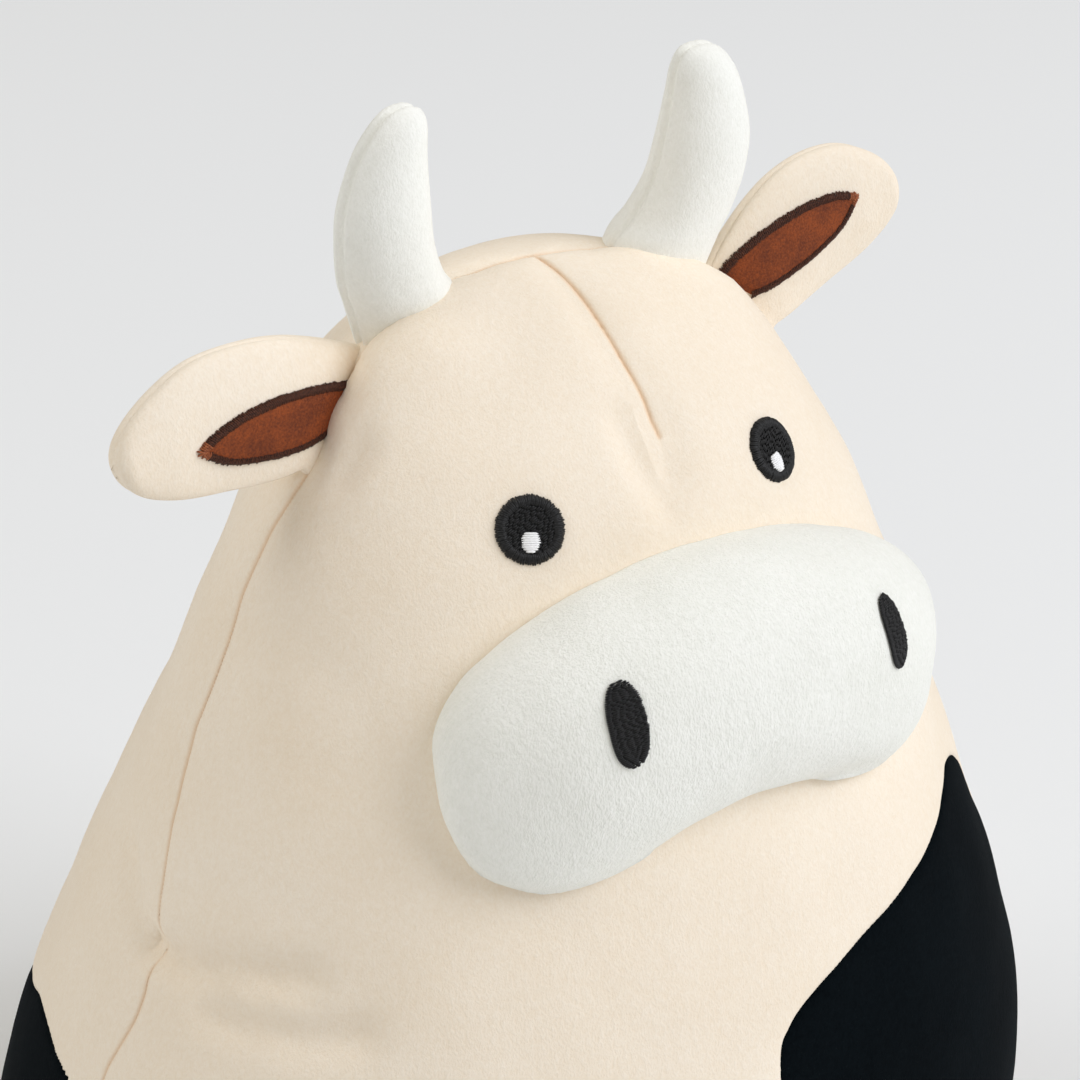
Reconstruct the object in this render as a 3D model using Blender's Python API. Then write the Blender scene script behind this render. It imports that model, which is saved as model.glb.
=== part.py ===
"""A stuffed plush cow, modelled as the pieces it is sewn from. Metres, +Z up.

The face looks along -Y, the cow's left side is +X, and the origin is on the flat base, under the
crown. The body is a cover of plush panels round a core of fibre filling. The muzzle, horns, ears,
tail and embroidery are separate pieces that lie on the cover with a small clearance.
"""
import math

import bmesh
import bpy
import numpy as np
from mathutils import Vector
from mathutils.bvhtree import BVHTree

# Clearances between separate pieces, and the distance under which two points are one
CLEARANCE = 0.0003
SEAM_GAP = 0.0003
FILLING_GAP = 0.0005
STITCH_LIFT = 0.0005
MERGE = 0.000002

# Body, its cover and the seams that draw the cover in
BODY_HEIGHT = 0.262
BODY_HALF_WIDTH = 0.119
FRONT_DEPTH = 0.0935
BACK_DEPTH = 0.1175
SPINE_SWAY = 0.006
COVER_THICKNESS = 0.0014
SEAM_DEPTH = 0.0011
SEAM_WIDTH = 0.0034
DART_REACH = 0.040
DART_FADE = 0.010
DART_DEPTH = 0.0013
DART_WIDTH = 0.0030
BASE_SEAM_RISE = 0.008

# Black patches let into the cover, which run to the side seams
FRONT_PATCH_TOP = 0.151
FRONT_PATCH_HEIGHT = 0.104
BACK_PATCH_TOP = 0.1105
BACK_PATCH_HEIGHT = 0.092

# Muzzle: half sizes of its sewn edge, its bulge and the radius its sides turn over with
MUZZLE_HALF_WIDTH = 0.0526
MUZZLE_HALF_HEIGHT = 0.0257
MUZZLE_RISE = 0.1996
MUZZLE_BULGE = 0.0195
MUZZLE_ROUNDING = 0.0225
MUZZLE_CHIN_DIP = 0.0063
MUZZLE_CHIN_WIDTH = 0.0235
MUZZLE_DROOP = 0.0105
MUZZLE_COVER_THICKNESS = 0.0016
MUZZLE_FILLING_GAP = 0.0011

# Embroidery on the face and muzzle
NOSTRIL_WIDTH = 0.0082
NOSTRIL_HEIGHT = 0.0155
NOSTRIL_SPREAD = 0.0292
NOSTRIL_RISE = 0.2085
NOSTRIL_THICKNESS = 0.0009
EYE_RADIUS = 0.0063
EYE_RIM_WIDTH = 0.0019
EYE_RIM_THICKNESS = 0.0011
EYE_FILL_THICKNESS = 0.0006
EYE_SPREAD = 0.0268
EYE_RISE = 0.2306
GLINT_WIDTH = 0.0033
GLINT_HEIGHT = 0.0040
GLINT_DROP = 0.0019
GLINT_THICKNESS = 0.0004

# Horns, which start inside the head and are cut off along its surface
HORN_RISE = 0.246
HORN_LENGTH = 0.0525
HORN_SPREAD = 0.0295
HORN_BOW = 0.0050
HORN_LEAN = 0.0105
HORN_DEPTH = 0.0168
HORN_COVER_THICKNESS = 0.0012
HORN_WIDTHS = {"left": 0.0220, "right": 0.0198}

# Ears, each with a velvet lining and its stitched border
EAR_THICKNESS = 0.0085
EAR_EDGE_THICKNESS = 0.0030
EAR_ROOT_THICKNESS = 0.0010
EAR_HINGE_GAP = 0.0005
LINING_WIDTH = 0.0096
LINING_MARGIN = 0.0018
LINING_THICKNESS = 0.0006
BORDER_WIDTH = 0.0018
BORDER_THICKNESS = 0.0010

# Each ear as it was sewn on: its size, how far it sits above its root's middle, the rise of its
# root's two ends, its lining's length and place above the root's middle, and its tilt above level
EAR_LENGTHS = {"left": 0.0410, "right": 0.0395}
EAR_WIDTHS = {"left": 0.0285, "right": 0.0270}
EAR_SHIFTS = {"left": 0.0026, "right": 0.0004}
EAR_ROOT_TOPS = {"left": 0.2490, "right": 0.2488}
EAR_ROOT_FEET = {"left": 0.2345, "right": 0.2300}
LINING_LENGTHS = {"left": 0.0275, "right": 0.0235}
LINING_SHIFTS = {"left": 0.0042, "right": 0.0014}
EAR_TILTS = {"left": 20.0, "right": 2.0}
EAR_SWEEP = 4.0

# Tail, which hangs against the back from a hinge line inside its round root
TAIL_RISE = 0.090
TAIL_LENGTH = 0.040
TAIL_DIAMETER = 0.0095
TAIL_HINGE_GAP = 0.0003
TUFT_LENGTH = 0.025
TUFT_DIAMETER = 0.0160

# Facets round and along the pieces
PANEL_COLUMNS = 16
BODY_ROWS = 18
PATCH_POINTS = 30
MUZZLE_COLUMNS = 32
HORN_COLUMNS = 16
HORN_ROWS = 10
EAR_ROWS = 9
EAR_COLUMNS = 8
STITCH_COLUMNS = 20
LINING_POINTS = 18
TAIL_COLUMNS = 12

# Turns of the extra columns beside a seam or dart, and the turn a sharp edge starts at, in degrees
SEAM_TURNS = (1.6, 4.0)
DART_TURNS = (1.2, 2.8)
SHARP_TURN = 50.0
MUZZLE_TUCK = 25.0

SIDES = {"left": 1.0, "right": -1.0}

# Colour, roughness
CREAM = ((0.90, 0.79, 0.65), 0.95)
BLACK = ((0.006, 0.008, 0.010), 0.95)
WHITE = ((0.88, 0.88, 0.84), 0.95)
BROWN = ((0.19, 0.045, 0.012), 0.90)
DARK_THREAD = ((0.075, 0.020, 0.008), 0.70)
BLACK_THREAD = ((0.020, 0.020, 0.020), 0.60)
WHITE_THREAD = ((0.90, 0.90, 0.90), 0.50)
FIBRE = ((0.86, 0.86, 0.86), 1.00)

# Body stations from the rim of the base to the crown: height, half width, front depth and
# back depth, and how far the middle of the section stands behind the origin
BODY_SHARES = (
    (0.000, 0.672, 0.663, 0.664, 0.80),
    (0.027, 0.824, 0.813, 0.809, 0.75),
    (0.076, 0.933, 0.930, 0.928, 0.70),
    (0.173, 1.000, 1.000, 1.000, 0.60),
    (0.300, 0.973, 0.966, 0.974, -0.20),
    (0.450, 0.868, 0.851, 0.873, -0.80),
    (0.580, 0.755, 0.726, 0.741, -1.00),
    (0.700, 0.660, 0.614, 0.571, -0.80),
    (0.820, 0.550, 0.497, 0.424, -0.30),
    (0.920, 0.411, 0.379, 0.320, 0.35),
    (0.980, 0.214, 0.199, 0.168, 0.85),
    (1.000, 0.000, 0.000, 0.000, 1.00),
)

# Rings of the flat base inside its rim
BASE_RING_SHARES = (0.0, 0.5)
BASE_CLIMB_SHARES = (0.0, 0.35, 0.70, 1.0)

# Patch outlines: across from the middle of the body to past its side, and down from the top
FRONT_PATCH_SHARES = (
    (1.25, 0.16), (0.90, 0.10), (0.66, 0.03), (0.535, 0.00), (0.44, 0.01), (0.30, 0.065),
    (0.10, 0.122), (0.03, 0.155), (0.005, 0.22), (-0.008, 0.44), (0.05, 0.68), (0.20, 0.85),
    (0.50, 0.965), (0.92, 1.00), (1.25, 1.00),
)
BACK_PATCH_SHARES = (
    (-1.25, 0.00), (-0.89, 0.005), (-0.81, 0.10), (-0.72, 0.235), (-0.605, 0.41), (-0.50, 0.585),
    (-0.47, 0.78), (-0.54, 0.935), (-0.76, 1.00), (-1.25, 1.00),
)

# How square the muzzle's outline is, its lean, and how far its bulge follows the face's curve
MUZZLE_SQUARENESS_SHARE = 0.61
MUZZLE_LEAN_SHARE = 0.42
MUZZLE_SPREAD_SHARE = 0.36
MUZZLE_TURN_SHARES = (0.0, 0.15, 0.32, 0.50, 0.68, 0.84, 1.0)
MUZZLE_FRONT_SHARES = (0.5, 0.0)
MUZZLE_BACK_SHARES = (0.0, 0.25, 0.5, 0.75, 0.94)

# Horn stations from the root to the tip: rise, bow outwards, lean forwards, section size
HORN_SHARES = (
    (0.00, -0.75, 0.05, 1.02),
    (0.14, -0.42, 0.10, 1.08),
    (0.28, 0.00, 0.20, 1.11),
    (0.362, 0.45, 0.30, 1.05),
    (0.495, 0.86, 0.45, 0.97),
    (0.648, 1.00, 0.60, 0.85),
    (0.820, 0.84, 0.78, 0.60),
    (0.914, 0.58, 0.88, 0.42),
    (0.980, 0.36, 0.94, 0.22),
    (1.000, 0.30, 0.95, 0.00),
)

# Ear edges from the root to the tip: along and across at the upper, then at the lower edge
EAR_SHARES = (
    (0.036, 0.500, 0.262, -0.327),
    (0.214, 0.653, 0.369, -0.313),
    (0.405, 0.687, 0.488, -0.300),
    (0.595, 0.633, 0.619, -0.280),
    (0.762, 0.500, 0.750, -0.247),
    (0.893, 0.333, 0.869, -0.187),
    (0.964, 0.187, 0.952, -0.087),
    (0.988, 0.087, 0.988, 0.013),
)
EAR_SWELL_SHARES = ((0.0, 0.0), (0.12, 0.40), (0.35, 0.92), (0.60, 1.0), (0.85, 0.75), (1.0, 0.25))
EAR_SECTION_SHARE = 0.55

# Lining outline from the root's upper corner round the tip: along from the root, and across
LINING_SHARES = (
    (0.00, 0.40), (0.22, 0.53), (0.45, 0.55), (0.68, 0.47), (0.87, 0.27), (1.00, 0.06),
    (0.87, -0.20), (0.68, -0.36), (0.45, -0.42), (0.22, -0.40), (0.00, -0.30),
)

# How much longer the lining's tip grows than its sides
LINING_TIP_SHARE = 1.35

# Section of a sewn pad from its edge to its middle, and of a band of stitches from side to side
PAD_SHARES = ((1.0, 0.45), (0.94, 0.9), (0.6, 1.0), (0.0, 1.0))
PAD_BACK_SHARES = (0.0, 0.5, 1.0)
BAND_SHARES = ((1.0, 0.3), (0.75, 0.95), (0.25, 0.95), (0.0, 0.3))

# Tail and tuft: along, and radius
TAIL_SHARES = ((-0.5, 0.0), (-0.43, 0.5), (-0.25, 0.87), (0.0, 1.0), (0.5, 0.90), (1.0, 0.80))
TUFT_SHARES = ((0.0, 0.60), (0.16, 0.90), (0.40, 1.0), (0.70, 0.78), (0.90, 0.42), (1.0, 0.0))

# The widest that a place on the face may lie from its middle, of the half width there
FACE_EDGE_SHARE = 0.96


def interpolate(rows, knots, slopes, place):
    """Cubic pieces between knots, from the values and slopes there."""
    index = np.clip(np.searchsorted(knots, place, side="right") - 1, 0, len(knots) - 2)
    step = (knots[index + 1] - knots[index])[..., None]
    u = (place - knots[index])[..., None] / step
    leave, arrive = slopes[index] * step, slopes[index + 1] * step
    from_start = 2 * u**3 - 3 * u**2 + 1
    return (from_start * rows[index] + (1 - from_start) * rows[index + 1]
            + (u**3 - 2 * u**2 + u) * leave + (u**3 - u**2) * arrive)


def smooth(rows, places):
    """A smooth curve through rows of values, at places from 0 (first row) to 1 (last row)."""
    rows = np.asarray(rows, dtype=float)
    steps = np.linalg.norm(np.diff(rows, axis=0), axis=1)
    knots = np.concatenate([[0.0], np.cumsum(steps)])
    slopes = np.gradient(rows, knots, axis=0)
    return interpolate(rows, knots, slopes, np.asarray(places, dtype=float) * knots[-1])


def unit(vectors):
    """Vectors scaled to a length of one."""
    vectors = np.asarray(vectors, dtype=float)
    return vectors / np.linalg.norm(vectors, axis=-1, keepdims=True)


class Body:
    """The outer surface of the stuffed body: half ellipses stacked on a swaying spine."""

    def __init__(self):
        sizes = (BODY_HEIGHT, BODY_HALF_WIDTH, FRONT_DEPTH, BACK_DEPTH, SPINE_SWAY)
        rows = np.array(BODY_SHARES) * sizes
        # One more row past the crown makes the surface close over it level
        past_crown = rows[-2] * (1, -1, -1, -1, 1)
        self.rows = np.vstack([rows, past_crown])
        steps = np.hypot(np.diff(self.rows[:, 0]), np.diff(self.rows[:, 1]))
        self.knots = np.concatenate([[0.0], np.cumsum(steps)])
        self.slopes = np.gradient(self.rows, self.knots, axis=0)
        self.sample = np.linspace(0.0, 1.0, 400)
        self.sample_heights = self.station(self.sample)[:, 0]

    def station(self, climb):
        """Height, half width, depths and spine at a climb from 0 (rim) to 1 (crown)."""
        return interpolate(self.rows, self.knots, self.slopes, np.asarray(climb) * self.knots[-2])

    def climb_at(self, height):
        """The climb at which the surface reaches a height."""
        return np.interp(height, self.sample_heights, self.sample)

    def points(self, turn, climb, inset=0.0, seams=False):
        """Points inset under the surface, and its normals. Turn 0 is +X and -90 degrees the face."""
        turn, climb = np.broadcast_arrays(np.asarray(turn, float), np.asarray(climb, float))
        level = self.station(climb)
        step = self.sample[1] / len(self.sample)
        rate = (self.station(climb + step) - level) / step
        cos, sin = np.cos(turn), np.sin(turn)
        side = np.where(sin < 0, 2, 3)[..., None]
        depth = np.take_along_axis(level, side, -1)[..., 0]
        depth_rate = np.take_along_axis(rate, side, -1)[..., 0]
        point = np.stack([level[..., 1] * cos, level[..., 4] + depth * sin, level[..., 0]], -1)
        # At the crown every turn meets, and the normal there is straight up
        ring = np.maximum(level[..., 1], MERGE)
        ring_depth = np.maximum(depth, MERGE)
        round_way = np.stack([-ring * sin, ring_depth * cos, 0 * cos], -1)
        up_way = np.stack([rate[..., 1] * cos, rate[..., 4] + depth_rate * sin, rate[..., 0]], -1)
        normal = unit(np.cross(unit(round_way), unit(up_way)))
        normal = np.where((level[..., 1] > MERGE)[..., None], normal, np.array([0.0, 0.0, 1.0]))
        sunk = self.seam_depth(point, level[..., 4]) if seams else 0 * cos
        return point - normal * (inset + sunk)[..., None], normal

    def seam_depth(self, point, spine):
        """How deep the side and crown seams, the forehead dart and the base seam draw the cover in."""
        behind = point[..., 1] - spine
        side = SEAM_DEPTH * np.exp(-(behind / SEAM_WIDTH) ** 2)
        fade = np.clip((DART_REACH + behind) / DART_FADE, 0.0, 1.0)
        forehead = (behind < 0) & (point[..., 2] > MUZZLE_RISE)
        dart = DART_DEPTH * np.exp(-(point[..., 0] / DART_WIDTH) ** 2) * fade * forehead
        base = SEAM_DEPTH * np.exp(-((point[..., 2] - BASE_SEAM_RISE) / SEAM_WIDTH) ** 2)
        return np.maximum(np.maximum(side, dart), base)

    def face(self, x, z):
        """Point and normal of the face where it has this x and this height."""
        climb = self.climb_at(z)
        across = np.clip(x / self.station(climb)[..., 1], -FACE_EDGE_SHARE, FACE_EDGE_SHARE)
        point, normal = self.points(-np.arccos(across), climb)
        return point - np.array([0.0, SEAM_GAP / 2, 0.0]), normal


def material(name, finish):
    """A plain Principled material with a colour and a roughness."""
    colour, roughness = finish
    made = bpy.data.materials.new(name)
    made.use_nodes = True
    shader = made.node_tree.nodes["Principled BSDF"]
    shader.inputs["Base Color"].default_value = (*colour, 1.0)
    shader.inputs["Roughness"].default_value = roughness
    shader.inputs["Metallic"].default_value = 0.0
    made.diffuse_color = (*colour, 1.0)
    return made


def finish_object(name, bm, finish, origin=(0.0, 0.0, 0.0)):
    """Closes up a bmesh, turns its faces outwards and makes it a smooth shaded object."""
    bmesh.ops.remove_doubles(bm, verts=bm.verts, dist=MERGE)
    bmesh.ops.dissolve_degenerate(bm, edges=bm.edges, dist=MERGE)
    bmesh.ops.recalc_face_normals(bm, faces=bm.faces)
    bmesh.ops.translate(bm, verts=bm.verts, vec=-Vector(origin))
    mesh = bpy.data.meshes.new(name)
    bm.to_mesh(mesh)
    bm.free()
    mesh.shade_smooth()
    mesh.set_sharp_from_angle(angle=math.radians(SHARP_TURN))
    made = bpy.data.objects.new(name, mesh)
    made.location = origin
    bpy.context.collection.objects.link(made)
    made.data.materials.append(material(name, finish))
    return made


def add_grid(bm, grid, wrap):
    """Lays quads over rows of points, and gives back the rows of vertices."""
    rows = [[bm.verts.new(point) for point in row] for row in grid]
    for low, high in zip(rows, rows[1:]):
        for k in range(len(low) - (0 if wrap else 1)):
            after = (k + 1) % len(low)
            bm.faces.new((low[k], low[after], high[after], high[k]))
    return rows


def bridge(bm, one, other, wrap):
    """Joins two equal rows of vertices with quads."""
    for k in range(len(one) - (0 if wrap else 1)):
        after = (k + 1) % len(one)
        bm.faces.new((one[k], other[k], other[after], one[after]))


def walled(outer, inner, wrap, ends):
    """A wall between two equal grids, closed along its sides and the named ends."""
    bm = bmesh.new()
    out_rows = add_grid(bm, outer, wrap)
    in_rows = add_grid(bm, inner, wrap)
    for end, row in zip(ends, (0, -1)):
        if end:
            bridge(bm, out_rows[row], in_rows[row], wrap)
    if not wrap:
        for column in (0, -1):
            bridge(bm, [row[column] for row in out_rows], [row[column] for row in in_rows], False)
    return bm


def through_rings(rings, first_cap=False, last_cap=False):
    """A closed solid through rings of points, each end of which is a cap or one point."""
    bm = bmesh.new()
    rows = add_grid(bm, rings, True)
    if first_cap:
        bm.faces.new(rows[0])
    if last_cap:
        bm.faces.new(rows[-1])
    return bm


def cut(target, cutter, operation):
    """Adds an exact Boolean with a cutter that stays out of the model."""
    cutter.hide_render = True
    cutter.display_type = "WIRE"
    step = target.modifiers.new(cutter.name, "BOOLEAN")
    step.operation = operation
    step.object = cutter
    step.solver = "EXACT"


def surface_tree(*objects):
    """A search tree over the faces of objects as they were modelled."""
    points, faces = [], []
    for made in objects:
        first = len(points)
        points += [made.location + vertex.co for vertex in made.data.vertices]
        faces += [[first + k for k in face.vertices] for face in made.data.polygons]
    return BVHTree.FromPolygons(points, faces)


def panel_turns(extra):
    """Turns across half the body, with close columns beside the seams and any extra ones."""
    even = np.linspace(0.0, math.pi, PANEL_COLUMNS + 1)
    near = np.radians(SEAM_TURNS)
    middle = math.pi / 2
    dart = np.radians(extra)
    return np.unique(np.concatenate([even, near, math.pi - near, middle - dart, middle + dart]))


def all_turns():
    """The columns of the front and the back panel, once round the body."""
    turns = np.concatenate([panel_turns(()), -panel_turns(DART_TURNS)[1:-1]])
    return np.sort(turns % (2 * math.pi))


def body_climbs(body):
    """Rows from just over the base seam to the crown, closer together near the crown."""
    low = body.climb_at(BASE_SEAM_RISE + SEAM_GAP / 2)
    even = np.linspace(0.0, 1.0, BODY_ROWS + 1)
    return low + (1.0 - low) * (np.sin(even * math.pi / 2) + even) / 2


def cover_half(body, name, finish, way, extra=()):
    """One plush panel, from seam to seam and from the base seam to the crown."""
    turns = panel_turns(extra) * way
    climbs = body_climbs(body)[:, None]
    shift = np.array([0.0, way * SEAM_GAP / 2, 0.0])
    outer, normal = body.points(turns[None, :], climbs, 0.0, True)
    inner = outer - normal * COVER_THICKNESS
    return finish_object(name, walled(outer + shift, inner + shift, False, (True, False)), finish)


def base_panel(body):
    """The panel that closes the body underneath, flat where the cow sits on it."""
    turns = np.linspace(0.0, 2 * math.pi, 2 * PANEL_COLUMNS, endpoint=False)
    top = body.climb_at(BASE_SEAM_RISE - SEAM_GAP / 2)
    climbs = (top * np.array(BASE_CLIMB_SHARES))[:, None]
    outer, normal = body.points(turns[None, :], climbs, 0.0, True)
    inner = outer - normal * COVER_THICKNESS
    outer[0, :, 2] = 0.0
    inner[0, :, 2] = COVER_THICKNESS
    middle = np.array([0.0, body.station(0.0)[4], 0.0])
    lifted = middle + np.array([0.0, 0.0, COVER_THICKNESS])
    rings = np.array(BASE_RING_SHARES)[:, None, None]
    outer = np.concatenate([middle + (outer[0] - middle) * rings, outer])
    inner = np.concatenate([lifted + (inner[0] - lifted) * rings, inner])
    return finish_object("base_panel", walled(outer, inner, True, (False, True)), CREAM)


def grown(outline, width):
    """A closed outline in a plane, moved outwards everywhere by a width."""
    outline = np.asarray(outline, dtype=float)
    ahead = unit(np.roll(outline, -1, axis=0) - outline)
    way = unit(ahead + np.roll(ahead, 1, axis=0))
    out = np.stack([way[:, 1], -way[:, 0]], -1)
    after = np.roll(outline, -1, axis=0)
    area = (outline[:, 0] * after[:, 1] - after[:, 0] * outline[:, 1]).sum()
    return outline + out * width * np.sign(area)


def patch_cutter(name, outline, far):
    """A straight prism through one side of the body, with the outline of a patch."""
    rings = [[(x, y, z) for x, z in outline] for y in (0.0, far)]
    return finish_object(name, through_rings(rings, True, True), BLACK)


def patches(body, front, back):
    """Two black patches: each is the part of a panel inside its outline, which the panel loses."""
    shapes = (
        ("front_patch_left", front, -1.0, FRONT_PATCH_SHARES, FRONT_PATCH_TOP, FRONT_PATCH_HEIGHT),
        ("back_patch_right", back, 1.0, BACK_PATCH_SHARES, BACK_PATCH_TOP, BACK_PATCH_HEIGHT),
    )
    for name, panel, way, shares, top, height in shapes:
        corners = [(across * BODY_HALF_WIDTH, top - down * height) for across, down in shares]
        outline = smooth(corners, np.linspace(0.0, 1.0, PATCH_POINTS))
        far = way * 2 * (FRONT_DEPTH + BACK_DEPTH)
        patch = cover_half(body, name, BLACK, way)
        cut(patch, patch_cutter(name + "_shape", outline, far), "INTERSECT")
        cut(panel, patch_cutter(name + "_hole", grown(outline, SEAM_GAP), far), "DIFFERENCE")


def body_filling(body):
    """The fibre core, clear of the cover all round and flat underneath."""
    inset = COVER_THICKNESS + FILLING_GAP
    climbs = np.concatenate([[0.0], body_climbs(body)])
    rings = body.points(all_turns()[None, :], climbs[:, None], inset, True)[0]
    middle = np.array([0.0, body.station(0.0)[4], 0.0])
    floor = middle + (rings[0] - middle) * (1.0 - SEAM_WIDTH / BODY_HALF_WIDTH)
    floor[:, 2] = inset
    finish_object("body_filling", through_rings([floor, *rings], True), FIBRE)


def seat_cutter(body):
    """The body's outer surface with the clearance added, to shape the foot of what stands on it."""
    climbs = body_climbs(body)[:, None]
    rings = body.points(all_turns()[None, :], climbs, -CLEARANCE - SEAM_GAP)[0]
    return finish_object("seat_cutter", through_rings(rings, True), FIBRE)


def hit(tree, start, way):
    """Where a ray meets a surface."""
    return np.array(tree.ray_cast(Vector(start), Vector(way))[0])


def front_ground(tree, across, rise, size):
    """The ground for something of this size on the front of the cow, at this place."""
    back = np.array([0.0, 1.0, 0.0])
    start = np.array([across, -3 * FRONT_DEPTH, rise])
    side = np.array([size, 0.0, 0.0])
    top = np.array([0.0, 0.0, size])
    level = hit(tree, start + side, back) - hit(tree, start - side, back)
    slope = hit(tree, start + top, back) - hit(tree, start - top, back)
    out = unit(np.cross(level, slope))
    side = unit(np.cross((0.0, 0.0, 1.0), out))
    return Ground(tree, hit(tree, start, back), out, side, np.cross(out, side))


class Ground:
    """A flat frame laid against a surface, for what is stitched on it."""

    def __init__(self, tree, centre, out, side, top):
        self.tree, self.centre, self.out, self.side, self.top = tree, centre, out, side, top

    def laid(self, ring, lift):
        """Points of a flat ring dropped on the surface and lifted off it again."""
        reach = BODY_HALF_WIDTH
        points = []
        for across, rise in ring:
            above = self.centre + self.side * across + self.top * rise + self.out * reach
            points.append(hit(self.tree, above, -self.out) + self.out * lift)
        return np.array(points)


def sewn_pad(ground, outline, thickness, lift=STITCH_LIFT):
    """A thin pad stitched down on a surface, swelling from its edge to its middle."""
    outline = np.asarray(outline, dtype=float)
    middle = outline.mean(axis=0)
    under = [ground.laid(middle + (outline - middle) * size, lift) for size in PAD_BACK_SHARES]
    over = [ground.laid(middle + (outline - middle) * size, lift + thickness * height)
            for size, height in PAD_SHARES]
    return through_rings([*under, *over])


def stitched_band(ground, edges, thickness, closed):
    """A raised band of stitches through the edges of its section, closed or open at its ends."""
    over = [ground.laid(edge, STITCH_LIFT + thickness * height)
            for edge, (_, height) in zip(edges, BAND_SHARES)]
    under = [ground.laid(edge, STITCH_LIFT) for edge in edges]
    return walled(over, under, closed, (True, True))


def oval(width, height, count, squareness=1.0, drop=0.0):
    """An oval outline; squareness under 1 fills out its corners."""
    turns = np.linspace(0.0, 2 * math.pi, count, endpoint=False)
    cos, sin = np.cos(turns), np.sin(turns)
    across = width / 2 * np.sign(cos) * np.abs(cos) ** squareness
    rise = height / 2 * np.sign(sin) * np.abs(sin) ** squareness
    return np.stack([across, rise - drop], -1)


def eyes(front):
    """Each eye: a filled disc, a raised satin rim round it and a glint stitched on the disc."""
    tree = surface_tree(front)
    for side, way in SIDES.items():
        ground = front_ground(tree, way * EYE_SPREAD, EYE_RISE, EYE_RADIUS)
        hole = 2 * (EYE_RADIUS - EYE_RIM_WIDTH)
        disc = hole - 2 * CLEARANCE
        fill = sewn_pad(ground, oval(disc, disc, STITCH_COLUMNS), EYE_FILL_THICKNESS)
        edges = [oval(hole + 2 * EYE_RIM_WIDTH * place, hole + 2 * EYE_RIM_WIDTH * place, STITCH_COLUMNS)
                 for place, _ in BAND_SHARES]
        rim = stitched_band(ground, edges, EYE_RIM_THICKNESS, True)
        spot = oval(GLINT_WIDTH, GLINT_HEIGHT, STITCH_COLUMNS // 2, 1.0, GLINT_DROP)
        lift = STITCH_LIFT + EYE_FILL_THICKNESS + CLEARANCE
        finish_object("eye_" + side, fill, BLACK_THREAD)
        finish_object("eye_rim_" + side, rim, BLACK_THREAD)
        finish_object("eye_glint_" + side, sewn_pad(ground, spot, GLINT_THICKNESS, lift), WHITE_THREAD)


def muzzle_ring(body, turn, shrink, inset, scale=1.0):
    """One ring of the muzzle: its bean outline drawn in and pushed out from the face."""
    turns = np.linspace(0.0, 2 * math.pi, MUZZLE_COLUMNS, endpoint=False)
    cos, sin = np.cos(turns), np.sin(turns)
    across = (MUZZLE_HALF_WIDTH - inset - shrink) * cos
    up = (MUZZLE_HALF_HEIGHT - inset - shrink) * np.sign(sin) * np.abs(sin) ** MUZZLE_SQUARENESS_SHARE
    # The chin's dip dies away towards the middle, so that the rings never cross
    chin = MUZZLE_CHIN_DIP * (1.0 - (shrink + inset) / MUZZLE_HALF_HEIGHT)
    up = up - chin * np.exp(-(across / MUZZLE_CHIN_WIDTH) ** 2) * np.minimum(sin, 0.0)
    up = (up - MUZZLE_DROOP * (across / MUZZLE_HALF_WIDTH) ** 2) * scale
    point, normal = body.face(across * scale, MUZZLE_RISE + up)
    forwards = np.array([0.0, -1.0, 0.0])
    way = unit(forwards * (1.0 - MUZZLE_SPREAD_SHARE) + normal * MUZZLE_SPREAD_SHARE)
    bulge = MUZZLE_BULGE - inset + MUZZLE_LEAN_SHARE * up
    return point + way * (CLEARANCE + bulge * turn)[:, None]


def muzzle_front(body, inset):
    """Rings from the muzzle's sewn edge, round its side and over its front to the middle."""
    tuck = math.radians(MUZZLE_TUCK)
    low = math.sin(tuck)
    rings = []
    for share in MUZZLE_TURN_SHARES:
        turn = (math.pi / 2 + tuck) * share - tuck
        height = (math.sin(turn) + low) / (1.0 + low)
        rings.append(muzzle_ring(body, height, MUZZLE_ROUNDING * (1.0 - math.cos(turn)), inset))
    for scale in MUZZLE_FRONT_SHARES:
        rings.append(muzzle_ring(body, 1.0, MUZZLE_ROUNDING, inset, scale))
    return rings


def muzzle(body):
    """The muzzle's cover, open towards the face, the filling behind it and two nostrils."""
    outer = muzzle_front(body, 0.0)
    inner = muzzle_front(body, MUZZLE_COVER_THICKNESS)
    cover = finish_object("muzzle_cover", walled(outer, inner, True, (True, False)), WHITE)
    inset = MUZZLE_COVER_THICKNESS + MUZZLE_FILLING_GAP
    back = [muzzle_ring(body, 0.0, 0.0, inset, scale) for scale in MUZZLE_BACK_SHARES]
    front = muzzle_front(body, inset)[1:]
    finish_object("muzzle_filling", through_rings(back + front), FIBRE)
    tree = surface_tree(cover)
    for side, way in SIDES.items():
        ground = front_ground(tree, way * NOSTRIL_SPREAD, NOSTRIL_RISE, NOSTRIL_WIDTH / 2)
        outline = oval(NOSTRIL_WIDTH, NOSTRIL_HEIGHT, STITCH_COLUMNS, MUZZLE_SQUARENESS_SHARE)
        finish_object("nostril_" + side, sewn_pad(ground, outline, NOSTRIL_THICKNESS), BLACK_THREAD)


def horn_rings(side, inset):
    """Sections of a horn from inside the head to its tip, drawn in by an inset."""
    way = SIDES[side]
    turns = np.linspace(0.0, 2 * math.pi, HORN_COLUMNS, endpoint=False)
    length = HORN_LENGTH - inset
    rings = []
    for rise, bow, lean, size in smooth(HORN_SHARES, np.linspace(0.0, 1.0, HORN_ROWS + 1)):
        half_width = max(size * HORN_WIDTHS[side] / 2 - inset, 0.0)
        half_depth = max(size * HORN_DEPTH / 2 - inset, 0.0)
        x = way * (HORN_SPREAD + bow * HORN_BOW) + half_width * np.cos(turns)
        y = SPINE_SWAY - lean * HORN_LEAN + half_depth * np.sin(turns)
        rings.append(np.stack([x, y, 0 * turns + HORN_RISE + rise * length], -1))
    return rings


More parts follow.
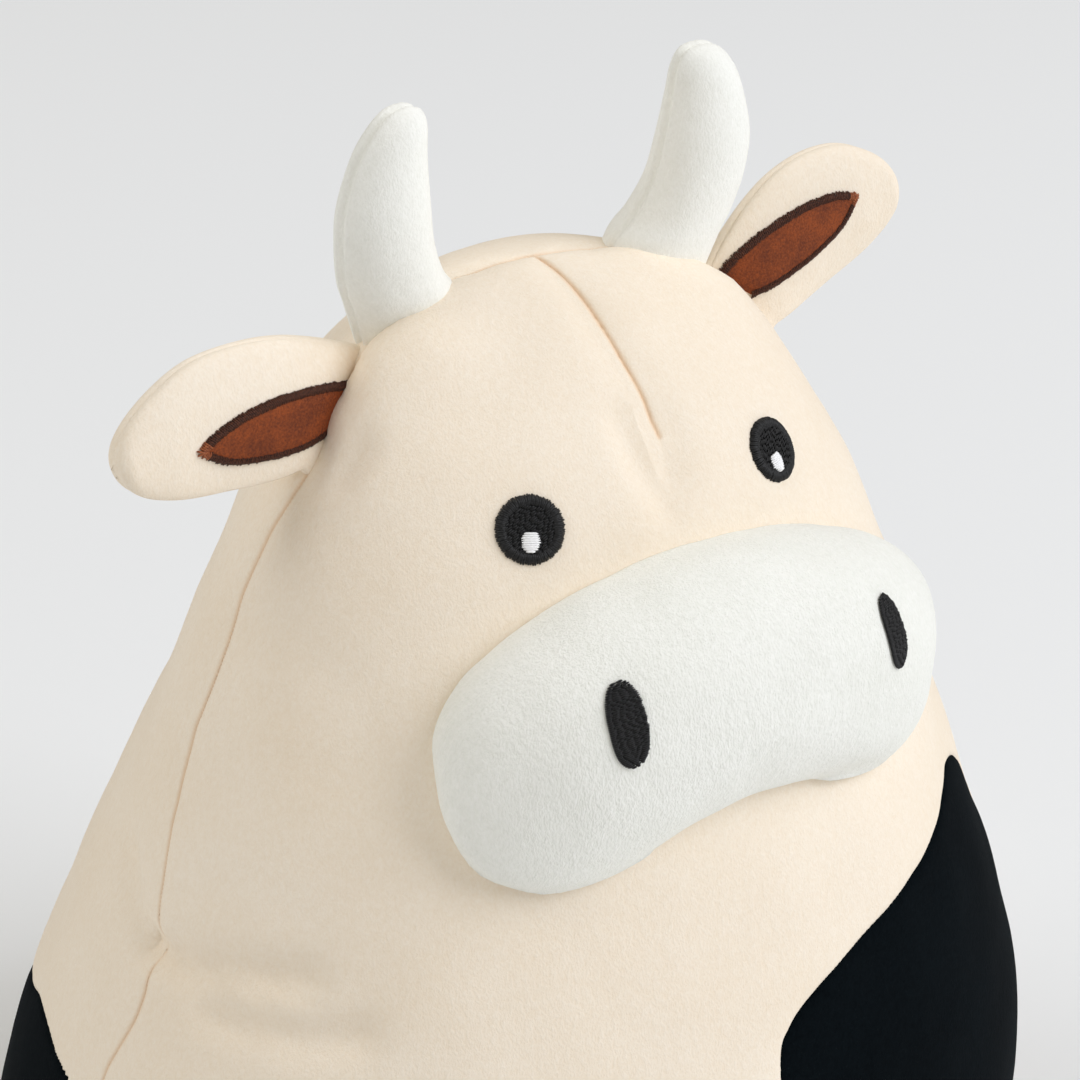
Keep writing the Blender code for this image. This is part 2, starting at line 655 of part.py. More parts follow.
def horns(seat):
    """Each horn: a plush cover and its filling, both cut off where they meet the head."""
    for side in SIDES:
        outer = horn_rings(side, 0.0)
        inner = horn_rings(side, HORN_COVER_THICKNESS)
        cover = walled(outer, inner, True, (True, False))
        core = through_rings(horn_rings(side, HORN_COVER_THICKNESS + CLEARANCE), True)
        cut(finish_object("horn_cover_" + side, cover, WHITE), seat, "DIFFERENCE")
        cut(finish_object("horn_filling_" + side, core, FIBRE), seat, "DIFFERENCE")


class Ear:
    """One ear: a leaf in a plane through the straight line that it is sewn along."""

    def __init__(self, body, tree, side):
        way = SIDES[side]
        turn = 0.0 if way > 0 else math.pi
        ends = body.climb_at(np.array([EAR_ROOT_TOPS[side], EAR_ROOT_FEET[side]]))
        high, low = body.points(turn, ends)[0]
        self.along = unit(high - low)
        self.half_root = np.linalg.norm(high - low) / 2
        front = unit(np.cross(self.along, (1.0, 0.0, 0.0)))
        front = front * -np.sign(front[1])
        out = unit(np.cross(front, self.along))
        out = out * np.sign(out[0] * way)
        # The root stands just clear of the highest place of the head beside its line
        middle = (high + low) / 2
        aside = front * EAR_ROOT_THICKNESS / 2
        clear = []
        for place in np.linspace(-1.0, 1.0, EAR_COLUMNS + 1):
            start = middle + self.along * (place * self.half_root) + out * BODY_HALF_WIDTH
            clear += [(hit(tree, start + step, -out) - middle) @ out for step in (aside, -aside)]
        self.root = middle + out * (max(clear) + EAR_HINGE_GAP)
        sweep = math.radians(EAR_SWEEP)
        self.out = out * math.cos(sweep) + front * math.sin(sweep)
        self.front = front * math.cos(sweep) - out * math.sin(sweep)
        # The leaf's own axes: along it from root to tip, and across it
        slope = math.atan2(self.out[2], abs(self.out[0]))
        tilt = math.radians(EAR_TILTS[side]) - slope
        self.length_way = self.out * math.cos(tilt) + self.along * math.sin(tilt)
        self.width_way = self.along * math.cos(tilt) - self.out * math.sin(tilt)
        self.tilt = tilt
        self.size = (EAR_LENGTHS[side], EAR_WIDTHS[side])
        self.shift = EAR_SHIFTS[side]

    def place(self, along, across, height):
        """A point of the ear from its place on the leaf and its height over the middle plane."""
        flat = self.length_way * along[..., None] + self.width_way * across[..., None]
        return self.root + flat + self.front * height[..., None]

    def rows(self):
        """Upper and lower edge from the root to the tip, along and across the leaf."""
        top = np.array([math.sin(self.tilt), math.cos(self.tilt)]) * self.half_root
        first = np.array([[*top, *-top]])
        rest = np.array(EAR_SHARES) * (*self.size, *self.size) + (0.0, self.shift, 0.0, self.shift)
        return smooth(np.vstack([first, rest]), np.linspace(0.0, 1.0, EAR_ROWS + 1))

    def layer(self, way):
        """One half of the ear's padding with its plush: swelling outwards, flat inside."""
        rows = self.rows()
        shares = np.linspace(0.0, 1.0, EAR_ROWS + 1)
        swell = np.interp(shares, *np.array(EAR_SWELL_SHARES).T)[:, None]
        across = (1.0 - np.cos(np.linspace(0.0, math.pi, EAR_COLUMNS + 1))) / 2
        section = np.sin(across * math.pi) ** EAR_SECTION_SHARE
        places = rows[:, None, 2:] + (rows[:, None, :2] - rows[:, None, 2:]) * across[None, :, None]
        edge = EAR_ROOT_THICKNESS + (EAR_EDGE_THICKNESS - EAR_ROOT_THICKNESS) * np.minimum(swell * 2, 1.0)
        height = edge / 2 + (EAR_THICKNESS - EAR_EDGE_THICKNESS) / 2 * swell * section[None, :]
        flat = np.full_like(height, SEAM_GAP / 2)
        outer = self.place(places[..., 0], places[..., 1], way * height)
        inner = self.place(places[..., 0], places[..., 1], way * flat)
        return walled(outer, inner, False, (True, True))

    def lining_outline(self, side, extra):
        """The lining's outline from the upper root corner round its tip, with an extra width."""
        shares = smooth(LINING_SHARES, np.linspace(0.0, 1.0, LINING_POINTS))
        across = shares[:, 1] * (LINING_WIDTH + 2 * extra) + LINING_SHIFTS[side]
        root = across * math.tan(self.tilt)
        length = LINING_LENGTHS[side] + extra * LINING_TIP_SHARE
        return np.stack([root + (length - root) * shares[:, 0] + LINING_MARGIN, across], -1)


def ears(body, panels):
    """Each ear: front and back layer, the lining on the front and the stitches along its sides."""
    tree = surface_tree(*panels)
    for side in SIDES:
        ear = Ear(body, tree, side)
        front = finish_object("ear_front_" + side, ear.layer(1.0), CREAM, ear.root)
        finish_object("ear_back_" + side, ear.layer(-1.0), CREAM, ear.root)
        ground = Ground(surface_tree(front), ear.root, ear.front, ear.length_way, ear.width_way)
        lining = sewn_pad(ground, ear.lining_outline(side, 0.0), LINING_THICKNESS)
        edges = [ear.lining_outline(side, CLEARANCE + BORDER_WIDTH * place) for place, _ in BAND_SHARES]
        border = stitched_band(ground, edges, BORDER_THICKNESS, False)
        finish_object("ear_lining_" + side, lining, BROWN, ear.root)
        finish_object("ear_border_" + side, border, DARK_THREAD, ear.root)


def tail(body):
    """The tail: a stuffed tube that hangs along the back from a round root, and its tuft."""
    climb = body.climb_at(TAIL_RISE)
    point, normal = body.points(math.pi / 2, climb)
    radius = TAIL_DIAMETER / 2
    root = point + normal * (radius + TAIL_HINGE_GAP + SEAM_GAP / 2)
    down = np.cross(normal, (-1.0, 0.0, 0.0))
    down = down * -np.sign(down[2])
    turns = np.linspace(0.0, 2 * math.pi, TAIL_COLUMNS, endpoint=False)
    circle = np.outer(np.cos(turns), (1.0, 0.0, 0.0)) + np.outer(np.sin(turns), normal)
    tube, tuft = [], []
    for along, size in TAIL_SHARES:
        # The round root is a share of the diameter, and the rest a share of the length
        reach = along * (TAIL_DIAMETER if along < 0 else TAIL_LENGTH)
        tube.append(root + down * reach + circle * size * radius)
    start = root + down * (TAIL_LENGTH + SEAM_GAP)
    for along, size in TUFT_SHARES:
        tuft.append(start + down * along * TUFT_LENGTH + circle * size * TUFT_DIAMETER / 2)
    finish_object("tail", through_rings(tube, False, True), CREAM, root)
    finish_object("tail_tuft", through_rings(tuft, True), BLACK, root)


def main():
    for old in list(bpy.data.objects):
        bpy.data.objects.remove(old, do_unlink=True)
    body = Body()
    front = cover_half(body, "front_panel", CREAM, -1.0, DART_TURNS)
    back = cover_half(body, "back_panel", CREAM, 1.0)
    patches(body, front, back)
    base_panel(body)
    body_filling(body)
    eyes(front)
    muzzle(body)
    horns(seat_cutter(body))
    ears(body, (front, back))
    tail(body)


main()
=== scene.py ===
"""Looks of a plush cow: stuffed plush covers, embroidery, velvet ear linings, horns and tail."""

import math

import bpy
import numpy as np
from mathutils import Matrix, Vector, noise
from mathutils.bvhtree import BVHTree
from mathutils.kdtree import KDTree


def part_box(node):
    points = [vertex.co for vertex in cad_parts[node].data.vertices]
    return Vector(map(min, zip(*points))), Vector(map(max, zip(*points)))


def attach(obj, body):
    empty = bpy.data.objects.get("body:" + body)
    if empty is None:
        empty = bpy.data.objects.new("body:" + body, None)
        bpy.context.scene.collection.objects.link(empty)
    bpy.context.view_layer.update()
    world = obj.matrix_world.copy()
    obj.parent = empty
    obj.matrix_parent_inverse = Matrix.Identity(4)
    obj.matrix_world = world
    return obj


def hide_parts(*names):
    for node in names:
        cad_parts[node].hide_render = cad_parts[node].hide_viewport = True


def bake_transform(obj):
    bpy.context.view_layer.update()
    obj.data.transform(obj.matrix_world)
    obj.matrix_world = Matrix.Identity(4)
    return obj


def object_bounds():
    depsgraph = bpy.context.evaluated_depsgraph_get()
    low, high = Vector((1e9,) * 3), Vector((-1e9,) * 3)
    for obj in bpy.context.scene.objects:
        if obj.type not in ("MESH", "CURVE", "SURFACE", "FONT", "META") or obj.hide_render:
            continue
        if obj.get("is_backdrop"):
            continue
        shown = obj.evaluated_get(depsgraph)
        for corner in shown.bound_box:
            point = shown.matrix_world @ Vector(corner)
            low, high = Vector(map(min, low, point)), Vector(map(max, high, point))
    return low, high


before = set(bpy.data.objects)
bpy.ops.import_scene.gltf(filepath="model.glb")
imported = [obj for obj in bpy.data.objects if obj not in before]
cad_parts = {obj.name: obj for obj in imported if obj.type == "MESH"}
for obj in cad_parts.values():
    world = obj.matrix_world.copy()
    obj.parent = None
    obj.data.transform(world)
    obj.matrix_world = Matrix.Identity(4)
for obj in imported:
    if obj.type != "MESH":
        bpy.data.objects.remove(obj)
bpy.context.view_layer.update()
scene = bpy.context.scene
bpy.ops.object.select_all(action="DESELECT")

MM = 0.001
THREAD = 0.45 * MM
COVER = 1.4 * MM
NEAR = 1e-6


# Materials


def tint(red, green, blue):
    """A colour given as on a screen, from 0 to 255, in linear light."""
    shares = np.array([red, green, blue]) / 255
    linear = np.where(shares <= 0.04045, shares / 12.92, ((shares + 0.055) / 1.055) ** 2.4)
    return (*linear.tolist(), 1.0)


class Wire:
    """A socket that gives a value, so that shader maths reads as plain expressions."""

    def __init__(self, paint, socket):
        self.paint = paint
        self.socket = socket

    def maths(self, operation, one, other):
        return self.paint.node("ShaderNodeMath", {"operation": operation}, {0: one, 1: other})

    def __add__(self, other):
        return self.maths("ADD", self, other)

    def __radd__(self, other):
        return self.maths("ADD", other, self)

    def __sub__(self, other):
        return self.maths("SUBTRACT", self, other)

    def __rsub__(self, other):
        return self.maths("SUBTRACT", other, self)

    def __mul__(self, other):
        return self.maths("MULTIPLY", self, other)

    def __rmul__(self, other):
        return self.maths("MULTIPLY", other, self)

    def clipped(self, low, high):
        """This value from low to high as 0 to 1."""
        sockets = {"Value": self, "From Min": low, "From Max": high}
        return self.paint.node("ShaderNodeMapRange", {"clamp": True}, sockets)


class Paint:
    """One material and its shader nodes."""

    def __init__(self, name, **sockets):
        self.material = bpy.data.materials.new(name)
        self.material.use_nodes = True
        self.tree = self.material.node_tree
        self.shader = self.tree.nodes["Principled BSDF"]
        for socket, value in sockets.items():
            self.shader.inputs[socket.replace("_", " ")].default_value = value
        self.place = self.node("ShaderNodeTexCoord", {}, {}, "Object")

    def node(self, kind, settings, sockets, output=0):
        """Adds a node: its settings first, then the values or links of its sockets."""
        made = self.tree.nodes.new(kind)
        for name, value in settings.items():
            setattr(made, name, value)
        for name, value in sockets.items():
            if isinstance(value, Wire):
                self.tree.links.new(value.socket, made.inputs[name])
            else:
                made.inputs[name].default_value = value
        return Wire(self, made.outputs[output])

    def stretched(self, scale, turn=(0, 0, 0)):
        return self.node("ShaderNodeMapping", {}, {"Vector": self.place, "Scale": scale, "Rotation": turn})

    def cloud(self, place, scale, detail=2.0, rough=0.5, warp=0.0):
        sockets = {"Vector": place, "Scale": scale, "Detail": detail, "Roughness": rough, "Distortion": warp}
        return self.node("ShaderNodeTexNoise", {}, sockets)

    def mark(self, name):
        """A value that the piece's own points carry."""
        return self.node("ShaderNodeAttribute", {"attribute_name": name}, {}, "Fac")

    def mix(self, factor, one, other):
        return self.node("ShaderNodeMix", {"data_type": "RGBA"}, {0: factor, 6: one, 7: other}, 2)

    def wear(self, **wires):
        """Links values to the shader's sockets, and gives the material."""
        for socket, wire in wires.items():
            self.tree.links.new(wire.socket, self.shader.inputs[socket.replace("_", " ")])
        return self.material

    def bump(self, height, distance, strength):
        sockets = {"Height": height, "Distance": distance, "Strength": strength}
        return self.node("ShaderNodeBump", {}, sockets)

    def show(self, output, factor, one, other):
        """Lets an output show one shader or the other."""
        mixed = self.node("ShaderNodeMixShader", {}, {0: factor, 1: one, 2: other})
        self.tree.links.new(mixed.socket, self.tree.nodes[output].inputs["Surface"])


class Sky(Paint):
    """The world's own shader nodes."""

    def __init__(self, world):
        world.use_nodes = True
        self.tree = world.node_tree


def plush(name, lit, shaded, pile, sheen, sheen_tint, seam=None, rough=0.6, streak=0.62):
    """Short brushed pile: clumps of fibre, with painted light on their tips, painted shade in the gaps
    between them and broad patches of painted sheen.
    """
    paint = Paint(name, Roughness=0.95, Specular_IOR_Level=0.05, Sheen_Weight=sheen, Sheen_Roughness=0.45,
                  Sheen_Tint=sheen_tint)
    brushed = paint.stretched((1.0, 1.0, streak))
    clumps = paint.cloud(brushed, 900.0, 3.0, 0.62, 0.2)
    tips = paint.cloud(brushed, 2400.0, 2.0, 0.6)
    sweep = paint.cloud(paint.place, 38.0, 2.0, 0.5)
    depth = clumps * 0.5 + tips * 0.5
    # Painted light and shade of the pile: the lit and shaded colours mix by the bump's height and by broad
    # patches
    tone = (depth * 0.7 + sweep * 0.3).clipped(0.30, 0.66)
    colour = paint.mix(tone, shaded, lit)
    # Painted shade along the seams: the colour goes over into a darker, warmer tone where the cover turns in
    if seam:
        colour = paint.mix(paint.mark("seam"), colour, seam)
    return paint.wear(Base_Color=colour, Normal=paint.bump(depth, pile, rough))


def velvet(name, lit, shaded):
    """Very short dense pile, with patches of painted sheen where it would be brushed the other way, and
    painted shade between them.
    """
    paint = Paint(name, Roughness=0.85, Sheen_Weight=0.12, Sheen_Roughness=0.35, Sheen_Tint=lit)
    grain = paint.cloud(paint.place, 2300.0, 2.0, 0.6)
    sweep = paint.cloud(paint.place, 150.0, 3.0, 0.6)
    # Painted sheen and shade: the lit and shaded colours mix in patches of the pile
    tone = (grain * 0.55 + sweep * 0.45).clipped(0.36, 0.64)
    return paint.wear(Base_Color=paint.mix(tone, shaded, lit), Normal=paint.bump(grain, 0.3 * MM, 0.6))


def thread(name, lit, shaded, rough):
    """Lustrous embroidery thread with fine twisted fibres."""
    paint = Paint(name, Roughness=rough, Specular_IOR_Level=0.3)
    twist = paint.cloud(paint.stretched((1.0, 1.0, 1.6)), 2600.0, 2.0, 0.55)
    # Painted highlights and shade along the twisted fibres: the lit and shaded colours mix by the twist
    tone = twist.clipped(0.35, 0.65)
    return paint.wear(Base_Color=paint.mix(tone, shaded, lit), Normal=paint.bump(twist, 0.08 * MM, 0.5))


# The cream's seam colour is painted shade for the turned-in edges of its seams
CREAM = plush("cream_plush", tint(254, 243, 227), tint(246, 230, 207), 0.35 * MM, 0.25, tint(255, 248, 235),
              seam=tint(232, 196, 158))
WHITE = plush("white_plush", tint(255, 255, 250), tint(240, 241, 233), 0.6 * MM, 0.25, tint(255, 255, 248),
              rough=0.75, streak=0.5)
HORN_WHITE = plush("horn_plush", tint(255, 255, 250), tint(243, 243, 236), 0.4 * MM, 0.25,
                   tint(255, 255, 248))
BLACK = plush("black_plush", tint(10, 17, 21), tint(1, 4, 7), 0.35 * MM, 0.01, tint(120, 150, 170))
VELVET = velvet("brown_velvet", tint(150, 70, 20), tint(96, 40, 10))
DARK_THREAD = thread("brown_thread", tint(90, 50, 32), tint(46, 20, 10), 0.6)
TIP_THREAD = thread("light_brown_thread", tint(176, 104, 66), tint(120, 58, 30), 0.5)
BLACK_THREAD = thread("black_thread", tint(42, 42, 43), tint(14, 14, 15), 0.5)
WHITE_THREAD = thread("white_thread", tint(255, 255, 255), tint(242, 242, 244), 0.5)

# Shapes


def unit(vectors):
    vectors = np.asarray(vectors, float)
    return vectors / np.maximum(np.linalg.norm(vectors, axis=-1, keepdims=True), NEAR * NEAR)


def object_tree(*objects, shear=None):
    """A tree of the faces of pieces, for rays; a shear takes out the lean of the seams."""
    points, faces = [], []
    for obj in objects:
        first = len(points)
        points += [v.co.copy() for v in obj.data.vertices]
        faces += [[first + i for i in p.vertices] for p in obj.data.polygons]
    if shear:
        points = [Vector((p.x, p.y - shear(p.z), p.z)) for p in points]
    return BVHTree.FromPolygons(points, faces)


def node_tree(*names, shear=None):
    """The same for CAD nodes."""
    return object_tree(*[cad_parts[name] for name in names], shear=shear)


def profiles(tree, centre, pole, side, turns, angles, reach=0.5):
    """First hits of rays towards the centre: one profile for each turn, from pole to pole."""
    centre, pole, side = Vector(centre), Vector(pole).normalized(), Vector(side).normalized()
    across = pole.cross(side)
    found = np.full((len(turns), len(angles), 3), np.nan)
    for i, turn in enumerate(turns):
        around = side * math.cos(turn) + across * math.sin(turn)
        for j, angle in enumerate(angles):
            way = around * math.sin(angle) - pole * math.cos(angle)
            place = tree.ray_cast(centre + way * reach, -way, reach)[0]
            if place:
                found[i, j] = place
    return found


def bridged(found):
    """Profiles with the places that no ray hit filled in from their neighbours."""
    steps = np.arange(found.shape[1])
    for profile in found:
        hit = ~np.isnan(profile[:, 0])
        for k in range(3):
            profile[:, k] = np.interp(steps, steps[hit], profile[hit, k])
    return found


def spaced(profile, count):
    """Points evenly spaced along a profile."""
    steps = np.linalg.norm(np.diff(profile, axis=0), axis=1)
    along = np.concatenate([[0.0], np.cumsum(steps)])
    places = np.linspace(0.0, along[-1], count + 1)
    return np.stack([np.interp(places, along, profile[:, k]) for k in range(3)], -1)


def smoothed(grid, passes, held=()):
    """A grid of rows round a shape, evened out; its poles and the held rows stay."""
    grid = grid.copy()
    keep = sorted({0, len(grid) - 1, *held})
    for _ in range(passes):
        kept = grid[keep].copy()
        grid = (np.roll(grid, 1, 1) + 2 * grid + np.roll(grid, -1, 1)) / 4
        grid[1:-1] = (grid[:-2] + 2 * grid[1:-1] + grid[2:]) / 4
        grid[keep] = kept
    return grid


def grid_normals(grid, wrapped=True):
    """Outward normals of a grid whose rows rise from pole to pole."""
    if wrapped:
        around = np.roll(grid, -1, 1) - np.roll(grid, 1, 1)
    else:
        around = np.gradient(grid, axis=1)
    normals = unit(np.cross(around, np.gradient(grid, axis=0)))
    for end, inner in ((0, 1), (-1, -2)):
        if np.linalg.norm(grid[end, 0] - grid[end, -1]) < NEAR:
            normals[end] = unit(normals[inner].mean(0))
    return normals


def curve_through(grid, places, axis):
    """Points of a smooth surface through a grid, at places counted in rows or columns."""
    grid = np.moveaxis(grid, axis, 0)
    last = len(grid) - 1
    padded = np.concatenate([[2 * grid[0] - grid[1]], grid, [2 * grid[-1] - grid[-2]]])
    low = np.clip(np.floor(places).astype(int), 0, last - 1)
    share = (places - low).reshape(-1, *([1] * (grid.ndim - 1)))
    a, b, c, d = (padded[low + k] for k in range(4))
    cubic = b + 0.5 * share * (c - a + share * (2 * a - 5 * b + 4 * c - d + share * (3 * (b - c) + d - a)))
    return np.moveaxis(cubic, 0, axis)


def ring_faces(rows, columns, wrapped, low_pole, high_pole):
    """Faces over a grid of points, with a single point where a row is a pole."""
    def number(row, column):
        if low_pole and row == 0:
            return 0
        first = (1 - columns) if low_pole else 0
        if high_pole and row == rows - 1:
            return first + row * columns
        return first + row * columns + column % columns

    faces = []
    for row in range(rows - 1):
        for column in range(columns if wrapped else columns - 1):
            corners = [(row, column), (row, column + 1), (row + 1, column + 1), (row + 1, column)]
            face = list(dict.fromkeys(number(*corner) for corner in corners))
            faces.append(face)
    return faces


def from_grid(name, grid, wrapped=True):
    """An object over a grid of points; a row whose points are all one is a pole."""
    rows, columns = grid.shape[:2]
    low, high = (np.linalg.norm(grid[r] - grid[r, 0], axis=-1).max() < NEAR for r in (0, -1))
    points = grid.reshape(-1, 3)
    if low:
        points = points[columns - 1:]
    if high:
        points = points[:len(points) - columns + 1]
    mesh = bpy.data.meshes.new(name)
    mesh.from_pydata(points.tolist(), [], ring_faces(rows, columns, wrapped, low, high))
    mesh.validate()
    obj = bpy.data.objects.new(name, mesh)
    scene.collection.objects.link(obj)
    return obj


def points_of(obj):
    flat = np.zeros(len(obj.data.vertices) * 3, np.float32)
    obj.data.vertices.foreach_get("co", flat)
    return flat.reshape(-1, 3).astype(float)


def put_points(obj, points):
    obj.data.vertices.foreach_set("co", np.asarray(points, np.float32).ravel())
    obj.data.update()


def only(obj):
    bpy.ops.object.select_all(action="DESELECT")
    obj.select_set(True)
    bpy.context.view_layer.objects.active = obj


def applied(obj, kind, **settings):
    """Adds a modifier with its settings and applies it."""
    only(obj)
    modifier = obj.modifiers.new(kind.lower(), kind)
    for name, value in settings.items():
        setattr(modifier, name, value)
    bpy.ops.object.modifier_apply(modifier=modifier.name)
    return obj


def stuffed(grid, held, pressure, cap, slack):
    """The grid as a closed cover blown up by its filling, held where it is sewn down."""
    normals = grid_normals(grid)
    blown = simulated(grid, held, pressure, cap, slack)
    lift = ((blown - grid) * normals).sum(-1, keepdims=True)
    lift = smoothed(np.repeat(lift, 3, -1), 3)[..., :1]
    if held[0, 0] == 0:
        lift = even_pole(lift)
    if held[-1, 0] == 0:
        lift = even_pole(lift[::-1])[::-1]
    return grid + normals * lift * (1.0 - np.minimum(held, 1.0)[..., None])


def even_pole(lift):
    """Lets a cover rise evenly round its first pole."""
    rows = np.arange(len(lift))[:, None, None]
    even = lift.mean(1, keepdims=True)
    lift = even + (lift - even) * np.clip((rows - 3) / 6, 0, 1)
    lift[:4] = lift[4].mean()
    return lift


def simulated(grid, held, pressure, cap, slack):
    """Where 20 steps of cloth under pressure take the grid's points."""
    obj = from_grid("stuffing", grid)
    rows, columns = grid.shape[:2]
    group = obj.vertex_groups.new(name="sewn")
    flags = held.copy()
    flags[0] = flags[0, 0]
    flags[-1] = flags[-1, 0]
    flat = flags.reshape(-1)[columns - 1:]
    flat = flat[:len(flat) - columns + 1]
    for weight in sorted(set(flat.tolist()) - {0.0}):
        group.add(np.nonzero(flat == weight)[0].tolist(), weight, "REPLACE")
    cloth = obj.modifiers.new("cloth", "CLOTH")
    cloth.point_cache.frame_start = 1
    cloth.point_cache.frame_end = 20
    cloth.collision_settings.use_collision = False
    rules = cloth.settings
    rules.quality = 6
    rules.mass = 0.2
    rules.tension_stiffness = 12
    rules.compression_stiffness = 12
    rules.shear_stiffness = 6
    rules.bending_stiffness = 0.6
    rules.vertex_group_mass = "sewn"
    rules.use_pressure = True
    rules.uniform_pressure_force = pressure
    rules.shrink_min = -slack
    rules.effector_weights.gravity = 0
    for step in range(1, 21):
        scene.frame_set(step)
    shown = obj.evaluated_get(bpy.context.evaluated_depsgraph_get())
    moved = np.zeros(len(shown.data.vertices) * 3, np.float32)
    shown.data.vertices.foreach_get("co", moved)
    moved = moved.reshape(-1, 3) - points_of(obj)
    lengths = np.linalg.norm(moved, axis=1, keepdims=True)
    moved *= np.minimum(1.0, cap / np.maximum(lengths, NEAR))
    scene.frame_set(1)
    bpy.data.objects.remove(obj)
    low = np.repeat(moved[:1], columns, 0)
    high = np.repeat(moved[-1:], columns, 0)
    return grid + np.concatenate([low, moved[1:-1], high]).reshape(rows, columns, 3)


def finish(obj, material, body, replaced):
    """Gives a piece its finish and its body, and lets it stand for CAD nodes."""
    obj.data.materials.clear()
    obj.data.materials.append(material)
    obj.data.polygons.foreach_set("use_smooth", [True] * len(obj.data.polygons))
    if body:
        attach(obj, body)
    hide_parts(*replaced)
    return obj


def thick(obj):
    """Gives a cover its even thickness, inwards from its outer side."""
    return applied(obj, "SOLIDIFY", thickness=COVER, offset=-1.0, use_even_offset=False)


def closed(grid):
    """The grid with its first column again after its last."""
    return np.concatenate([grid, grid[:, :1]], 1)


def ended(grid):
    """The grid with each of its end rows drawn into one point."""
    grid[0], grid[-1] = grid[0].mean(0), grid[-1].mean(0)
    return grid


# Body cover

SEAM_RISES = (0, 7.1, 19.9, 45.3, 78.6, 117.9, 152, 183.4, 214.8, 241, 256.8, 262)
SEAM_PLACES = (4.8, 4.5, 4.2, 3.6, -1.2, -4.8, -6.0, -4.8, -1.8, 2.1, 5.1, 6.0)
rises = np.arange(-40.0, 320.0)
places = np.convolve(np.interp(rises, SEAM_RISES, SEAM_PLACES), np.ones(17) / 17, "same")


def seam_place(height):
    """How far back the side and crown seams run at a height."""
    return np.interp(np.asarray(height) / MM, rises, places) * MM


TURNS = 128
HALF = TURNS // 2
BASE_ROWS = 16
WALL_ROWS = 66
DART = TURNS * 3 // 4
BODY_MIDDLE = (0, 0, 0.118)
BASE_RIM = 9.3 * MM
BODY_NODES = (
    "front_panel", "back_panel", "base_panel", "front_patch_left", "back_patch_right", "body_filling",
)

tree = node_tree(*BODY_NODES, shear=seam_place)
turns = np.arange(TURNS) * 2 * math.pi / TURNS
angles = np.linspace(0, math.pi, 321)
found = bridged(profiles(tree, BODY_MIDDLE, (0, 0, 1), (1, 0, 0), turns, angles))
body_grid = np.zeros((BASE_ROWS + WALL_ROWS + 1, TURNS, 3))
for column, profile in enumerate(found):
    rim = int(np.argmax(profile[:, 2] > BASE_RIM))
    body_grid[:BASE_ROWS + 1, column] = spaced(profile[:rim + 1], BASE_ROWS)
    body_grid[BASE_ROWS:, column] = spaced(profile[rim:], WALL_ROWS)
body_grid = ended(body_grid)
# The rim of the base runs evenly
rim = body_grid[BASE_ROWS]
for _ in range(12):
    rim = (np.roll(rim, 1, 0) + 2 * rim + np.roll(rim, -1, 0)) / 4
body_grid[BASE_ROWS] = rim
body_grid = smoothed(body_grid, 4, (BASE_ROWS,))
body_grid[..., 1] += seam_place(body_grid[..., 2])
body_grid[..., 0] *= np.interp(body_grid[..., 2], (0.09, 0.19), (1.011, 1.0))

# Outlines of the patches in shares: across of the body's half width, and down of the patch's height
BODY_HALF_WIDTH = 0.119
FRONT_PATCH = (
    (1.25, 0.66), (0.90, 0.47), (0.805, 0.34), (0.745, 0.225), (0.708, 0.142), (0.672, 0.082), (0.626, 0.028),
    (0.569, 0.00), (0.517, 0.012), (0.422, 0.043), (0.324, 0.066), (0.204, 0.094), (0.094, 0.136),
    (0.035, 0.177), (0.007, 0.241), (-0.008, 0.479), (0.05, 0.718), (0.20, 0.888), (0.50, 1.003),
    (0.92, 1.038), (1.25, 1.038),
)
BACK_PATCH = (
    (-1.25, 0.00), (-0.89, 0.005), (-0.81, 0.10), (-0.72, 0.235), (-0.605, 0.41), (-0.50, 0.585),
    (-0.47, 0.78), (-0.54, 0.935), (-0.76, 1.00), (-1.25, 1.00),
)


def patch_outline(shares, top, height):
    """A patch's outline from the front: across and up."""
    corners = np.array([(across * BODY_HALF_WIDTH, top - down * height) for across, down in shares])
    return curve_through(corners, np.linspace(0, len(corners) - 1, 1200), 0)


def on_surface(tree, outline, way):
    """The outline's points where it runs over the surface, from the front or the back."""
    hits = []
    for across, rise in outline:
        place = tree.ray_cast(Vector((across, way * 0.4, rise)), Vector((0, -way, 0)))[0]
        if place and way * place.y > way * seam_place(place.z) - 1 * MM:
            hits.append(place)
    return hits


front_outline = patch_outline(FRONT_PATCH, top=0.1527, height=0.1017)
back_outline = patch_outline(BACK_PATCH, top=0.1105, height=0.092)


def slid(grid, column, at_rises, slides):
    """The grid with one seam moved round the body, back or forwards, by a distance for each height."""
    columns = grid.shape[1]
    ahead, behind = grid[:, (column + 1) % columns], grid[:, (column - 1) % columns]
    spacing = (ahead[:, 1] - behind[:, 1]) / 2
    moves = np.interp(grid[:, column, 2], at_rises, slides, 0.0, 0.0)
    moves = np.where(np.abs(spacing) > NEAR, moves / np.where(spacing == 0, 1, spacing), 0.0)
    moves[:BASE_ROWS + 1] = 0
    away = (np.arange(columns) - column + columns / 2) % columns - columns / 2
    wanted = np.arange(columns)[None, :] + moves[:, None] * np.exp(-((away / 12) ** 2))[None, :]
    low = np.floor(wanted).astype(int)
    share = (wanted - low)[..., None]
    rows = np.arange(len(grid))[:, None]
    return grid[rows, low % columns] * (1 - share) + grid[rows, (low + 1) % columns] * share


